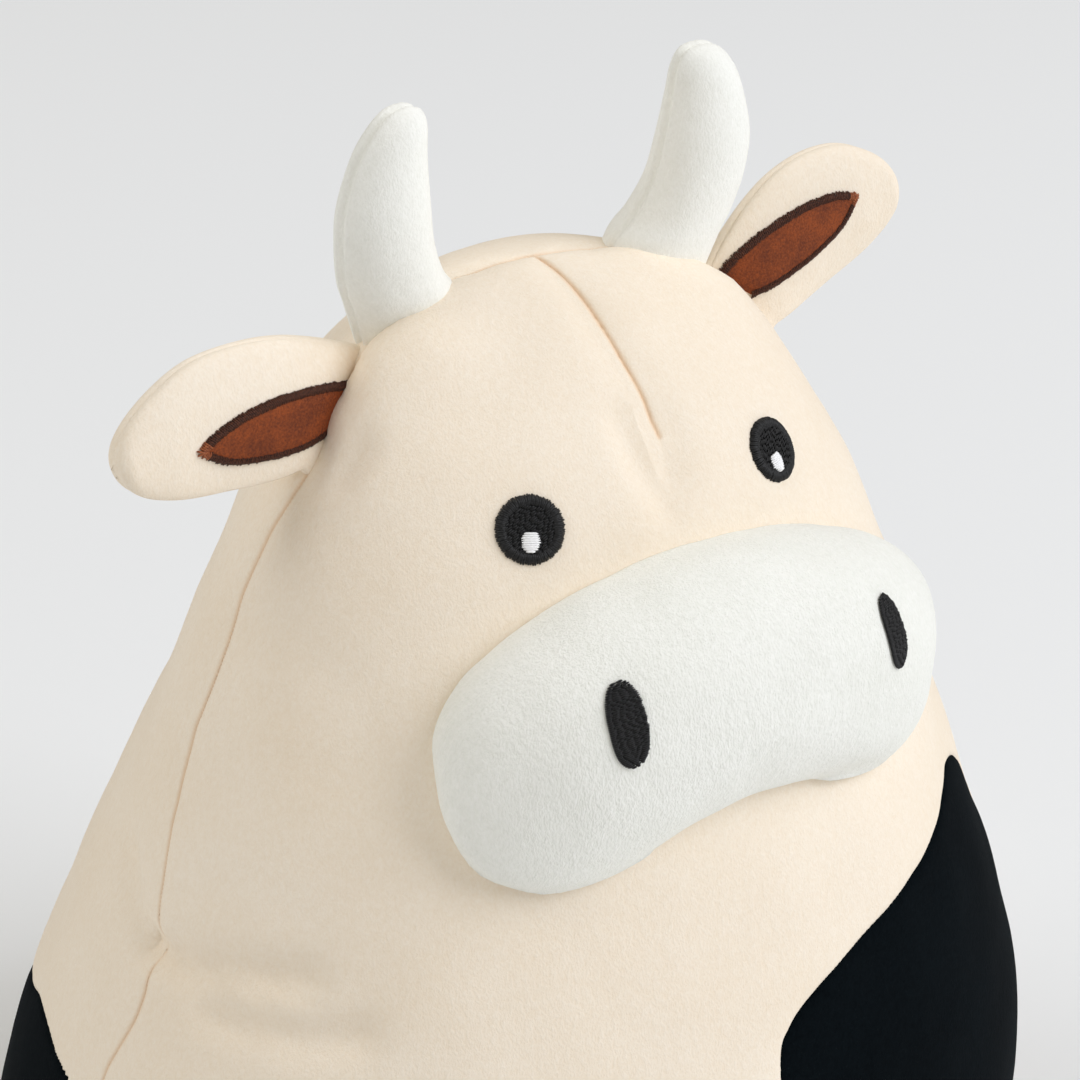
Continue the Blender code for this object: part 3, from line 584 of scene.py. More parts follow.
normals = grid_normals(body_grid)
held = np.zeros(body_grid.shape[:2])
held[:BASE_ROWS + 1] = 1.0
held[:, [0, HALF]] = 1.0
forehead = (body_grid[:, DART, 2] > 0.236) & (body_grid[:, DART, 2] < 0.2605)
held[forehead, DART] = 1.0
start = body_grid - normals * 0.6 * MM
blown = stuffed(start, held, 4.0, 5 * MM, 0.02)
lift = ((blown - body_grid) * normals).sum(-1, keepdims=True)
even = smoothed(np.repeat(lift, 3, -1), 60)[..., :1]
calm = np.clip((len(body_grid) - 6 - np.arange(len(body_grid))) / 10, 0, 1)[:, None, None]
body_grid = body_grid + normals * np.clip((lift - even) * 0.5, -0.8 * MM, 0.8 * MM) * calm
body_grid[..., 2] = np.maximum(body_grid[..., 2], 0.0)
# Where each side seam runs round the body: heights, and how far back it lies there, in millimetres
SEAM_MOVES = (
    (HALF,
     (114, 121, 128, 132, 137, 141, 145, 150, 154, 160, 167, 172,
      177, 186, 193, 201, 211, 223, 228, 232, 236, 241, 248),
     (0, -0.3, -2.1, -3.1, -3.5, -2.8, -1.0, -1.1, 0.5, 2.2, 3.9, 4.5,
      5.2, 5.1, 3.3, 2.2, 2.6, 0.5, -1.2, -2.4, -2.6, -1.6, 0)),
    (0,
     (120, 145, 158, 173, 186, 200, 211, 222, 232, 240, 250),
     (0, 0, 2.5, 5.0, 6.0, 5.0, 3.2, 2.8, 2.4, 1.4, 0)),
)
for column, rises_mm, slides_mm in SEAM_MOVES:
    body_grid = slid(body_grid, column, np.array(rises_mm) * MM, np.array(slides_mm) * MM)
smooth_tree_object = from_grid("smooth_body", body_grid)
smooth_body = object_tree(smooth_tree_object)
bpy.data.objects.remove(smooth_tree_object)

def line_tree(points):
    """A tree of a line's points, to find how far away the line is."""
    kd = KDTree(len(points))
    for index, point in enumerate(points):
        kd.insert(point, index)
    kd.balance()
    return kd


def through(points, count):
    """A smooth line laid on the body through points given in millimetres."""
    line = curve_through(np.array(points) * MM, np.linspace(0, len(points) - 1, count), 0)
    return [smooth_body.find_nearest(Vector(p))[0] for p in line]


def seam_run(column):
    line = body_grid[BASE_ROWS:, column]
    return [Vector(p) for p in curve_through(line, np.linspace(0, len(line) - 1, 400), 0)]


# Seams, folds and dimples of the body's cover
SIDE_SEAMS = seam_run(0) + seam_run(HALF)
DART_LINE = through([
    (0.8, 5.1, 260.9), (1.4, -1.3, 260.1), (1.8, -9.5, 257.4), (2.0, -20.1, 251.1), (2.4, -26.1, 246.7),
    (3.0, -33.6, 239.9),
], 200)
DART_END = through([(2.8, -32.0, 241.5), (2.9, -33.6, 239.9), (2.6, -35.6, 237.8), (1.8, -38.4, 233.2)], 30)
DART_FOLD = through(
    [(-4.0, -31.0, 243.0), (-3.6, -35.3, 238.1), (-2.6, -38.0, 234.2), (-1.0, -40.6, 230.0)], 50)
PATCH_EDGES = on_surface(smooth_body, front_outline, -1) + on_surface(smooth_body, back_outline, 1)
PINCH = through([(-91.4, -3.0, 145.0), (-90.6, -7.5, 144.9), (-89.4, -12.0, 145.4)], 16)
FOLD_RIGHT = through(
    [(-91.0, -4.0, 145.2), (-87.2, -19.5, 148.0), (-82.0, -28.0, 150.6), (-75.5, -38.0, 153.5)], 50)
FOLD_LOW = through(
    [(-87.8, -24.0, 141.5), (-83.0, -33.5, 142.0), (-76.0, -43.0, 143.5), (-71.0, -48.5, 145.5)], 50)
FOLD_BACK = through([(-94.5, 16.0, 156.5), (-94.5, 6.0, 151.0), (-92.5, -1.0, 146.5)], 40)
EAR_PULL = [p for p in SIDE_SEAMS if 0.238 < p.z < 0.2475]
EAR_DIMPLE_HIGH = through([(-41.5, -3.0, 246.4), (-42.7, -4.0, 245.0)], 6)
EAR_DIMPLE_LOW = through([(-47.0, -10.4, 239.6), (-49.5, -10.0, 236.8)], 8)
# Each line: its points, then depth and width of its crease, and depth and width of its valley
DRAWN_IN = [
    (SIDE_SEAMS, 0.65 * MM, 0.45 * MM, 0.3 * MM, 4.0 * MM),
    (DART_LINE, 0.75 * MM, 0.5 * MM, 0.45 * MM, 4.5 * MM),
    (DART_END, 0.2 * MM, 1.0 * MM, 1.3 * MM, 4.6 * MM),
    (DART_FOLD, 0.0, 1.0 * MM, 1.6 * MM, 3.6 * MM),
    (PATCH_EDGES, 0.6 * MM, 0.5 * MM, 0.2 * MM, 2.5 * MM),
    (PINCH, 0.4 * MM, 1.5 * MM, 1.7 * MM, 4.2 * MM),
    (FOLD_RIGHT, 0.0, 1.0 * MM, 3.0 * MM, 3.9 * MM),
    (FOLD_LOW, 0.0, 1.0 * MM, 2.4 * MM, 3.7 * MM),
    (FOLD_BACK, 0.0, 1.0 * MM, 1.9 * MM, 4.2 * MM),
    (EAR_PULL, 0.0, 1.0 * MM, 2.3 * MM, 7.0 * MM),
    (EAR_DIMPLE_HIGH, 0.0, 1.0 * MM, 1.7 * MM, 3.2 * MM),
    (EAR_DIMPLE_LOW, 0.0, 1.0 * MM, 1.7 * MM, 3.6 * MM),
]
# The filling stands higher in front of the horns: points of a line, each with its height over the body
HORN_FEET = (
    ((-12, 3, 261, 1.5), (-21, -1, 258.5, 4.4), (-30, -4, 254, 6.3), (-38, -3, 249.5, 5.6),
     (-44, -1, 245, 3.5)),
    ((12, 3, 261, 0.5), (21, -1, 258.5, 2.2), (30, -4, 254, 3.5), (38, -3, 249.5, 3.8), (44, -1, 245, 2.5)),
)
HORN_FOOT_WIDTH = 10 * MM
# Painted shade in the seams: a darker, warmer line where the covers turn in
SEAM_SHADE = 0.7
SEAM_SHADE_WIDTH = 0.55 * MM


def raised_line(points):
    """A tree of a line's points on the body, and each point's height."""
    points = np.array(points, float)
    heights = np.interp(np.linspace(0, len(points) - 1, 60), np.arange(len(points)), points[:, 3]) * MM
    return line_tree(through(points[:, :3], 60)), heights


DRAWN_IN = [(line_tree(points), *rest) for points, *rest in DRAWN_IN]
RAISED = [raised_line(points) for points in HORN_FEET]
SEWN_LINES = line_tree(SIDE_SEAMS + DART_LINE)
CLOSE_LINES = line_tree(SIDE_SEAMS + DART_LINE + PATCH_EDGES)


def dressed(obj):
    """Draws a cover in along its seams, and gives it the slight unevenness of stuffed plush."""
    points = points_of(obj)
    seam = np.zeros(len(points))
    for index, point in enumerate(points):
        place = Vector(point)
        _, normal, _, _ = smooth_body.find_nearest(place)
        # How strongly the painted seam shade shows at this point
        seam[index] = SEAM_SHADE * math.exp(-((SEWN_LINES.find(place)[2] / SEAM_SHADE_WIDTH) ** 2))
        creases, valleys = [0.0], [0.0]
        for kd, crease, crease_width, valley, valley_width in DRAWN_IN:
            away = kd.find(place)[2]
            if away < 3 * valley_width:
                creases.append(crease * math.exp(-away / crease_width))
                valleys.append(valley * math.exp(-((away / valley_width) ** 2)))
        wave = 1.0 + 0.2 * noise.noise(place * 160.0)
        depth = (max(creases) + max(valleys) + 0.3 * (sum(valleys) - max(valleys))) * wave
        for kd, heights in RAISED:
            _, nearest, away = kd.find(place)
            depth -= heights[nearest] * math.exp(-((away / HORN_FOOT_WIDTH) ** 2))
        lump = noise.noise(place * 80.0) * 0.22 + noise.noise(place * 260.0) * 0.06
        # The rim of the base stays where the covers meet
        points[index] = place - normal * (depth + lump * MM) * min(max(place.z / (10 * MM) - 1, 0), 1)
    points[:, 2] = np.maximum(points[:, 2], 0.0)
    put_points(obj, points)
    obj.data.attributes.new("seam", "FLOAT", "POINT").data.foreach_set("value", seam)
    return obj


def fine_steps(count, near):
    """Places over a run of columns: halves, and closer steps next to the columns in near."""
    steps = set(np.arange(0, count + 0.01, 0.5).tolist())
    for middle in near:
        steps |= {middle + side * away for side in (-1, 1) for away in (0.12, 0.25, 0.37, 0.75)}
    return np.array(sorted(s for s in steps if 0 <= s <= count))


def refined(obj, lines, reach, cuts):
    """Smaller faces within a reach of the lines."""
    only(obj)
    bpy.ops.object.mode_set(mode="EDIT")
    bpy.ops.mesh.select_mode(type="FACE")
    bpy.ops.mesh.select_all(action="DESELECT")
    bpy.ops.object.mode_set(mode="OBJECT")
    near = [lines.find(face.center)[2] < reach for face in obj.data.polygons]
    obj.data.polygons.foreach_set("select", near)
    bpy.ops.object.mode_set(mode="EDIT")
    bpy.ops.mesh.subdivide(number_cuts=cuts, quadcorner="INNERVERT")
    bpy.ops.object.mode_set(mode="OBJECT")


def half_cover(name, first, near):
    """The front or the back of the body's cover, from the side seam round to the other."""
    columns = np.arange(first, first + HALF + 1) % TURNS
    half = body_grid[BASE_ROWS:, columns]
    fine = curve_through(half, fine_steps(HALF, near), 1)
    fine = curve_through(fine, fine_steps(len(half) - 1, (0,)), 0)
    fine[-1] = fine[-1, 0]
    obj = from_grid(name, fine, False)
    for cuts, reach in ((2, 4.0 * MM), (1, 1.2 * MM)):
        refined(obj, CLOSE_LINES, reach, cuts)
    return thick(obj)


def prism(name, outline, way):
    """A straight block over one side of the body, with the outline of a patch."""
    rings = np.array([[(x, y, z) for x, z in outline] for y in (-way * 0.02, way * 0.4)])
    ends = np.repeat(rings.mean(1, keepdims=True), len(outline), 1)
    rings = np.concatenate([ends[:1], rings, ends[1:]])
    obj = from_grid(name, rings)
    only(obj)
    bpy.ops.object.mode_set(mode="EDIT")
    bpy.ops.mesh.select_all(action="SELECT")
    bpy.ops.mesh.normals_make_consistent(inside=False)
    bpy.ops.object.mode_set(mode="OBJECT")
    return obj


def copy_of(obj, name):
    twin = obj.copy()
    twin.data = obj.data.copy()
    twin.name = name
    scene.collection.objects.link(twin)
    return twin


front_cover = half_cover("front_cover", HALF, (0, HALF // 2, HALF))
back_cover = half_cover("back_cover", 0, (0, HALF))
covers = [
    (front_cover, CREAM, "cream_plush", ("front_panel", "body_filling")),
    (back_cover, CREAM, "cream_plush", ("back_panel",)),
]
for cover, name, outline, way, node in (
    (front_cover, "front_patch", front_outline, -1, "front_patch_left"),
    (back_cover, "back_patch", back_outline, 1, "back_patch_right"),
):
    block = prism(name + "_shape", outline[::8], way)
    patch = copy_of(cover, name)
    applied(patch, "BOOLEAN", operation="INTERSECT", object=block, solver="EXACT")
    applied(cover, "BOOLEAN", operation="DIFFERENCE", object=block, solver="EXACT")
    bpy.data.objects.remove(block)
    covers.append((patch, BLACK, "black_plush", (node,)))
base_fine = curve_through(closed(body_grid[:BASE_ROWS + 1]), np.arange(0, TURNS, 1.0), 1)
base_cover = thick(from_grid("base_cover", base_fine))
covers.append((base_cover, CREAM, "cream_plush", ("base_panel",)))
for cover, material, slot, nodes in covers:
    finish(dressed(cover), material, "body", nodes)
body_tree = object_tree(*[c[0] for c in covers])

# Muzzle

MUZZLE_TURNS = 88
MUZZLE_ROWS = 22
MUZZLE_MIDDLE = Vector((0, -0.036, 0.2))
tree = node_tree("muzzle_cover", "muzzle_filling")
turns = np.arange(MUZZLE_TURNS) * 2 * math.pi / MUZZLE_TURNS
angles = np.linspace(0, math.radians(120), 361)
found = profiles(tree, MUZZLE_MIDDLE, (0, 1, 0), (1, 0, 0), turns, angles)
muzzle_grid = []
for profile in found:
    missed = np.isnan(profile[:, 0])
    rim = int(np.argmax(missed)) if missed.any() else len(profile)
    muzzle_grid.append(spaced(profile[:rim], MUZZLE_ROWS))
muzzle_grid = np.stack(muzzle_grid, 1)
muzzle_grid[0] = muzzle_grid[0].mean(0)
# The rows behind the rim lie on the face
rim = muzzle_grid[-1]
middle = rim.mean(0)
back = []
for share in (0.9, 0.6, 0.3, 0.0):
    row = []
    for point in middle + (rim - middle) * share:
        place = body_tree.ray_cast(Vector((point[0], -0.3, point[2])), Vector((0, 1, 0)))[0]
        row.append((place.x, max(place.y, point[1]) + 0.4 * MM, place.z))
    back.append(row)
muzzle_grid = np.concatenate([muzzle_grid, back])
muzzle_grid[-1] = muzzle_grid[-1].mean(0)
muzzle_grid[1:MUZZLE_ROWS] = smoothed(muzzle_grid[:MUZZLE_ROWS + 1], 2)[1:MUZZLE_ROWS]
away = np.abs(muzzle_grid[..., 0])
corner = np.exp(-(((away - 36 * MM) / (15 * MM)) ** 2)) * np.clip((0.205 - muzzle_grid[..., 2]) / 0.022, 0, 1)
muzzle_grid[..., 0] *= 1.028
muzzle_grid[..., 2] -= 2.0 * MM * corner
held = np.zeros(muzzle_grid.shape[:2])
held[MUZZLE_ROWS:] = 1.0
muzzle_grid = stuffed(muzzle_grid, held, 3.0, 2.0 * MM, 0.02)
# The filling rounds out the middle, between the two cheeks
rounded = smoothed(muzzle_grid, 30, range(MUZZLE_ROWS, len(muzzle_grid)))
rounded[0] = (4 * rounded[1].mean(0) - rounded[2].mean(0)) / 3
middling = np.exp(-((muzzle_grid[..., :1] / (26 * MM)) ** 2))
middling[0] = 1.0
muzzle_grid += (rounded - muzzle_grid) * middling
fine = curve_through(closed(muzzle_grid), np.arange(0, MUZZLE_TURNS, 0.5), 1)
fine = curve_through(fine, np.arange(0, len(muzzle_grid) - 0.5, 0.5), 0)
muzzle = from_grid("muzzle", fine)
muzzle_points = points_of(muzzle)
for index, point in enumerate(muzzle_points):
    place = Vector(point)
    muzzle_points[index] = place + Vector(noise.noise_vector(place * 110.0)) * 0.3 * MM
put_points(muzzle, muzzle_points)
finish(muzzle, WHITE, "body", ("muzzle_cover", "muzzle_filling"))
muzzle_tree = object_tree(muzzle)

# Horns

# Stations from inside the head to the tip: rise, bow outwards, lean forwards, size of the section
HORN_STATIONS = np.array((
    (0.000, -0.75, 0.05, 1.02), (0.140, -0.42, 0.10, 1.08), (0.280, 0.00, 0.20, 1.11),
    (0.362, 0.45, 0.30, 1.05), (0.495, 0.86, 0.45, 0.97), (0.648, 1.00, 0.55, 0.90),
    (0.820, 0.84, 0.62, 0.72), (0.914, 0.60, 0.67, 0.57), (0.978, 0.42, 0.69, 0.34),
    (1.000, 0.38, 0.70, 0.00),
))
HORN_PLACE = (0.0295, 0.006, 0.246)
HORN_BOW = 5.0 * MM
HORN_LEAN = 10.5 * MM
HORN_HALF_DEPTH = 8.4 * MM
HORN_HEIGHT = 52.5 * MM
HORN_GROOVE = 0.9 * MM
# How far the foot of a horn spreads towards the crown, and how far each horn is set back along the view
FLARE = 6.5 * MM
FLARE_RISE = 4.0 * MM
SET_BACK = {"left": 1.0 * MM, "right": 3.0 * MM}
SET_WAY = np.array((0.488, 0.719, -0.495))
HORN_WIDTHS = {"left": 0.0220, "right": 0.0198}
HORN_TURNS = 44
HORN_ROWS = 34


def above_head(profile):
    """The part of a horn's profile that stands out of the head, and a little more for its seam."""
    for index, point in enumerate(profile):
        place, normal, _, _ = body_tree.find_nearest(Vector(point))
        if (Vector(point) - place).dot(normal) > 0:
            return profile[max(index - 3, 0):]
    return profile


for side in ("left", "right"):
    sign = 1 if side == "left" else -1
    stations = curve_through(HORN_STATIONS, np.linspace(0, len(HORN_STATIONS) - 1, 140), 0)
    turns = np.arange(HORN_TURNS) * 2 * math.pi / HORN_TURNS
    rise, bow, lean, size = (stations[:, k, None] for k in range(4))
    size = np.maximum(size, 0.0)
    x = sign * (HORN_PLACE[0] + bow * HORN_BOW + size * HORN_WIDTHS[side] / 2 * np.cos(turns))
    y = HORN_PLACE[1] - lean * HORN_LEAN + size * HORN_HALF_DEPTH * np.sin(turns)
    z = HORN_PLACE[2] + rise * HORN_HEIGHT + 0 * turns
    tube = np.stack([x, y, z], -1) + SET_WAY * SET_BACK[side]
    grid = np.stack([spaced(above_head(tube[:, k]), HORN_ROWS) for k in range(HORN_TURNS)], 1)
    run = np.linalg.norm(np.diff(grid, axis=0), axis=-1).cumsum(0)
    run = np.concatenate([0 * run[:1], run])
    grid[..., 0] -= sign * FLARE * np.clip(-np.cos(turns), 0, 1) * np.exp(-run / FLARE_RISE)
    if sign < 0:
        grid = grid[:, ::-1]
    foot = grid[:1].mean(1, keepdims=True)
    grid = np.concatenate([np.repeat(foot, HORN_TURNS, 1), (grid[:1] + foot) / 2, grid])
    grid[-1] = grid[-1].mean(0)
    held = np.zeros(grid.shape[:2])
    held[:4] = 1.0
    start = grid - grid_normals(grid) * 0.3 * MM
    start[:3] = grid[:3]
    grid = stuffed(start, held, 3.0, 1.0 * MM, 0.01)
    fine = curve_through(closed(grid), np.arange(0, HORN_TURNS, 0.5), 1)
    fine = curve_through(fine, np.arange(0, len(grid) - 0.9, 0.5), 0)
    fine[-1] = fine[-1, 0]
    fine[0] = fine[0, 0]
    normals = grid_normals(fine)
    # The cover's two seams run up its outer and its inner side
    around = np.arange(fine.shape[1]) * 2 * math.pi / fine.shape[1]
    if sign < 0:
        around = around[::-1]
    outer, inner = (np.abs((around - seam + math.pi) % (2 * math.pi) - math.pi) for seam in (0.0, math.pi))
    width = np.linalg.norm(fine - fine.mean(1, keepdims=True), axis=-1)
    away = np.minimum(outer, inner)[None, :] * width
    sunk = HORN_GROOVE * np.exp(-((away / HORN_GROOVE) ** 2))
    sunk -= 0.2 * MM * np.exp(-(((away - 1.6 * MM) / (0.8 * MM)) ** 2))
    sunk[:3] = 0
    fine = fine - normals * sunk[..., None]
    horn = from_grid("horn_" + side, fine)
    finish(horn, HORN_WHITE, "body", ("horn_cover_" + side, "horn_filling_" + side))

# Ears

# Edges of each leaf in millimetres, from the root to the tip: along and across at the upper edge,
# then along and across at the lower edge
EAR_EDGES = {
    "left": (
        (-4.5, 9.5, 4.8, -8.2), (2.5, 14.0, 10.0, -8.2), (9.5, 17.5, 15.0, -7.9), (17.0, 19.6, 20.5, -7.4),
        (25.0, 19.5, 26.5, -6.8), (32.5, 17.0, 32.0, -5.7), (38.0, 12.4, 37.0, -4.0), (41.0, 8.0, 40.5, -1.3),
        (42.2, 3.8, 42.2, 3.2),
    ),
    "right": (
        (-13.2, 11.6, 4.1, -6.75), (-4.0, 15.3, 9.0, -7.4), (5.5, 18.0, 13.5, -7.6), (15.0, 18.6, 18.5, -7.3),
        (23.5, 17.4, 24.4, -6.9), (30.1, 14.0, 29.6, -6.0), (35.3, 9.8, 34.3, -4.4), (38.1, 5.8, 37.6, -1.6),
        (39.0, 2.4, 39.0, 1.8),
    ),
}
# The lining's edge from its upper root corner round the tip to its lower root corner
LININGS = {
    "left": (
        (-2.6, 7.6), (2.0, 9.8), (9.0, 11.3), (18.0, 11.5), (25.5, 9.9), (30.4, 7.2), (24.5, 3.3),
        (16.0, 1.5), (8.0, 1.0), (1.6, 1.3),
    ),
    "right": (
        (-7.8, 6.3), (-1.0, 7.6), (8.0, 7.9), (16.0, 6.7), (21.2, 4.7), (24.8, 2.4), (19.0, -0.7),
        (11.5, -1.8), (4.5, -1.7), (-2.8, -0.4),
    ),
}
LINING_TIP = 5
SIDE_POINTS = 80
# How far the root is turned out of the leaf's plane at its upper and its lower end
ROOT_TWISTS = {"left": (-1.5 * MM, 2.0 * MM), "right": (-3.4 * MM, 1.6 * MM)}
EAR_ROWS = 18
EAR_COLUMNS = 14
EAR_SWELL = ((0.0, 0.62), (0.10, 0.84), (0.30, 0.97), (0.60, 1.0), (0.85, 0.78), (0.95, 0.5), (1.0, 0.12))


class Ear:
    """A leaf-shaped pad in a plane through the line that it is sewn along."""

    def __init__(self, side, root, along, out, front, tilt):
        self.root, self.along, self.out, self.front = (np.array(v) for v in (root, along, out, front))
        tilt = math.radians(tilt)
        self.length_way = self.out * math.cos(tilt) + self.along * math.sin(tilt)
        self.width_way = self.along * math.cos(tilt) - self.out * math.sin(tilt)
        edges = np.array(EAR_EDGES[side]) * MM
        self.edges = curve_through(edges, np.linspace(0, len(edges) - 1, EAR_ROWS + 1), 0)
        self.twist = ROOT_TWISTS[side]
        self.lining = LININGS[side]

    def place(self, along, across, height):
        flat = self.length_way * along[..., None] + self.width_way * across[..., None]
        return self.root + flat + self.front * height[..., None]

    def pad(self):
        """The whole pad as rings from the root to the tip: up its front and down its back."""
        turn = np.linspace(0, 2 * math.pi, 2 * EAR_COLUMNS, endpoint=False)
        across = (1 - np.cos(turn)) / 2
        bulge = np.sign(np.sin(turn)) * np.abs(np.sin(turn)) ** 0.62
        shares = np.linspace(0, 1, EAR_ROWS + 1)
        swell = np.interp(shares, *np.array(EAR_SWELL).T)[:, None]
        rows = self.edges
        places = rows[:, None, 2:] + (rows[:, None, :2] - rows[:, None, 2:]) * across[None, :, None]
        upper_twist, lower_twist = self.twist
        fade = np.clip(1 - shares / 0.5, 0, 1)[:, None] ** 2
        turned = fade * (lower_twist + (upper_twist - lower_twist) * across[None, :])
        height = 4.25 * MM * swell * bulge[None, :] + turned
        rings = self.place(places[..., 0], places[..., 1], height)
        # The root narrows into the side seam
        inside = rings[0] - self.out * 2.2 * MM
        deep = rings[0].mean(0) + (rings[0] - rings[0].mean(0)) * 0.75 - self.out * 5.0 * MM
        end = np.repeat(rings[0].mean(0, keepdims=True), len(turn), 0) - self.out * 5.4 * MM
        tip = np.repeat(rings[-1].mean(0, keepdims=True), len(turn), 0) + self.length_way * 0.35 * MM
        return np.concatenate([[end, deep, inside], rings, [tip]])

    def lining_outline(self):
        """The lining's edge as a fine line, along and across the leaf."""
        corners = np.array(self.lining) * MM
        sides = corners[:LINING_TIP + 1], corners[LINING_TIP:]
        upper, lower = (curve_through(run, np.linspace(0, len(run) - 1, SIDE_POINTS), 0) for run in sides)
        return np.concatenate([upper, lower[1:]])


# Each ear: its root, the ways along its seam, outwards and to the front, and its tilt in degrees
EARS = {
    "left": Ear(
        "left", (0.047019, 0.002316, 0.241874), (-0.710515, 0.120861, 0.693225),
        (0.702, 0.053, 0.7102), (-0.0491, -0.9913, 0.1225), -25.33,
    ),
    "right": Ear(
        "right", (-0.049055, 0.002007, 0.239899), (0.676465, 0.123422, 0.72606),
        (-0.7347, 0.0443, 0.677), (0.0514, -0.9914, 0.1207), -40.66,
    ),
}
ear_trees = {}
for side, ear in EARS.items():
    grid = ear.pad()
    if side == "right":
        grid = grid[:, ::-1]
    facing = grid_normals(grid)[8, EAR_COLUMNS // 2] @ ear.front
    if facing * ((grid[8, EAR_COLUMNS // 2] - grid[8].mean(0)) @ ear.front) < 0:
        grid = grid[:, ::-1]
    held = np.zeros(grid.shape[:2])
    held[:4] = 1.0
    grid = stuffed(grid, held, 2.0, 0.7 * MM, 0.01)
    around = np.concatenate([grid[:, -1:], grid, grid[:, :2]], 1)
    fine = curve_through(around, 1 + np.arange(0, 2 * EAR_COLUMNS, 0.25), 1)
    fine = curve_through(fine, np.arange(0, len(grid) - 0.9, 0.25), 0)
    fine[0] = fine[0, 0]
    fine[-1] = fine[-1, 0]
    pad_object = from_grid("ear_pad_" + side, fine)
    for piece, way, node in (("ear_back_cover_", -1, "ear_back_"), ("ear_front_cover_", 1, "ear_front_")):
        cover = copy_of(pad_object, piece + side)
        only(cover)
        bpy.ops.object.mode_set(mode="EDIT")
        bpy.ops.mesh.select_all(action="SELECT")
        bpy.ops.mesh.bisect(
            plane_co=ear.root, plane_no=ear.front, use_fill=True, clear_inner=way > 0, clear_outer=way < 0)
        bpy.ops.object.mode_set(mode="OBJECT")
        points = points_of(cover)
        over = np.abs((points - ear.root) @ ear.front)
        inward = points - (ear.root + ((points - ear.root) @ ear.length_way)[:, None] * ear.length_way)
        # The edges turn in to the seam
        edge_in = unit(inward) * (0.5 * MM * np.exp(-over / (0.45 * MM)))[:, None]
        put_points(cover, points - edge_in)
        finish(cover, CREAM, None, (node + side,))
        start, end = (Vector(ear.root + ear.out * reach * MM) for reach in (-2.5, 7))
        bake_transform(cover)
        if way > 0:
            ear_trees[side] = object_tree(cover)
    bpy.data.objects.remove(pad_object)

# Embroidery


def laid(tree, place, way):
    """Where a point seen along a direction lies on a surface, and the surface's normal there."""
    hit, normal, _, _ = tree.ray_cast(place - way * 0.05, way)
    if hit is None:
        hit, normal, _, _ = tree.find_nearest(place)
    return hit, normal if normal.dot(way) < 0 else -normal


def sewn(name, runs, thickness, material, body, replaced=()):
    """Stitches as one piece: each run is a list of points with a share of the thread's width."""
    curve = bpy.data.curves.new(name, "CURVE")
    curve.dimensions = "3D"
    curve.bevel_depth = thickness / 2
    curve.bevel_resolution = 1
    curve.use_fill_caps = True
    curve.resolution_u = 1
    for run in runs:
        spline = curve.splines.new("POLY")
        spline.points.add(len(run) - 1)
        for point, (place, width) in zip(spline.points, run):
            point.co = (*place, 1.0)
            point.radius = width
    obj = bpy.data.objects.new(name, curve)
    scene.collection.objects.link(obj)
    only(obj)
    bpy.ops.object.convert(target="MESH")
    return finish(obj, material, body, replaced)


class Seat:
    """A place on a stuffed surface where something is embroidered, with its ways across and up."""

    def __init__(self, tree, place, reach, turn=0.0):
        self.tree = tree
        self.middle, out = laid(tree, place, Vector((0, 1, 0)))
        for side in ((1, 0, 0), (-1, 0, 0), (0, 0, 1), (0, 0, -1)):
            out = out + tree.find_nearest(self.middle + Vector(side) * reach)[1]
        out.normalize()
        self.way = -out
        self.up = (Vector((0, 0, 1)) - out * out.z).normalized()
        self.up.rotate(Matrix.Rotation(math.radians(turn), 3, out))
        self.across = self.up.cross(out).normalized()

    def on(self, x, y):
        return laid(self.tree, self.middle + self.across * x + self.up * y, self.way)

    def spot(self, x, y, height):
        place, facing = self.on(x, y)
        return place + facing * height

    def stitch(self, shape, start, end):
        """The points of one stitch between two places given across and up."""
        run = []
        for share, rise, fat in shape:
            x, y = (a + (b - a) * share for a, b in zip(start, end))
            run.append((self.spot(x, y, rise * MM), fat))
        return run


def oval(half_width, half_height):
    """An outline across and up."""
    turns = [2 * math.pi * k / 48 for k in range(48)]
    return [(half_width * math.cos(t), half_height * math.sin(t)) for t in turns]


def pad(name, seat, outline, thickness, replaced):
    """A thin raised pad of black thread inside an outline."""
    shares = (1.0, 0.98, 0.9, 0.7, 0.45, 0.2, 0.0)
    heights = (-0.4 * MM, thickness * 0.55, thickness * 0.95, *[thickness] * 4)
    under = [[tuple(seat.on(x * s, y * s)[0] + seat.way * 0.5 * MM) for x, y in outline] for s in (0.0, 0.5)]
    top = [[tuple(seat.spot(x * s, y * s, h)) for x, y in outline] for s, h in zip(shares, heights)]
    obj = from_grid(name, ended(np.array(under + top)))
    return finish(obj, BLACK_THREAD, "body", replaced)


rng = np.random.default_rng(7)
# Stitches from end to end: share of the length, rise in millimetres, and share of the thread's width
FILL_STITCH = ((0, 0.45, 0.55), (0.25, 0.7, 0.95), (0.75, 0.7, 0.95), (1, 0.45, 0.55))
RIM_STITCH = (
    (0, 0.05, 0.7), (0.18, 0.45, 1.0), (0.42, 0.75, 1.0), (0.7, 0.78, 1.0), (0.9, 0.65, 1.0), (1, 0.5, 0.7),
)
GLINT_STITCH = ((0, 0.65, 0.6), (0.2, 1.0, 1.0), (0.8, 1.0, 1.0), (1, 0.65, 0.6))
NOSTRIL_STITCH = ((0, 0.25, 0.6), (0.25, 0.45, 1.0), (0.75, 0.45, 1.0), (1, 0.25, 0.6))
EYE_LOWER = {"left": 0.3 * MM, "right": 0.9 * MM}
EYE_FILL = 5.1 * MM
EYE_MIDDLE = 4.8 * MM
RIM_STITCHES = 92
GLINT_SIZE = (1.55 * MM, 1.95 * MM)
GLINT_DROP = -2.1 * MM
GLINT_SHIFT = {"left": -1.2 * MM, "right": 0.0}
NOSTRIL_RAISE = {"left": 0.0, "right": 0.7 * MM}
NOSTRIL_HALF = {"left": 2.7 * MM, "right": 3.45 * MM}
NOSTRIL_HEIGHT = 7.55 * MM
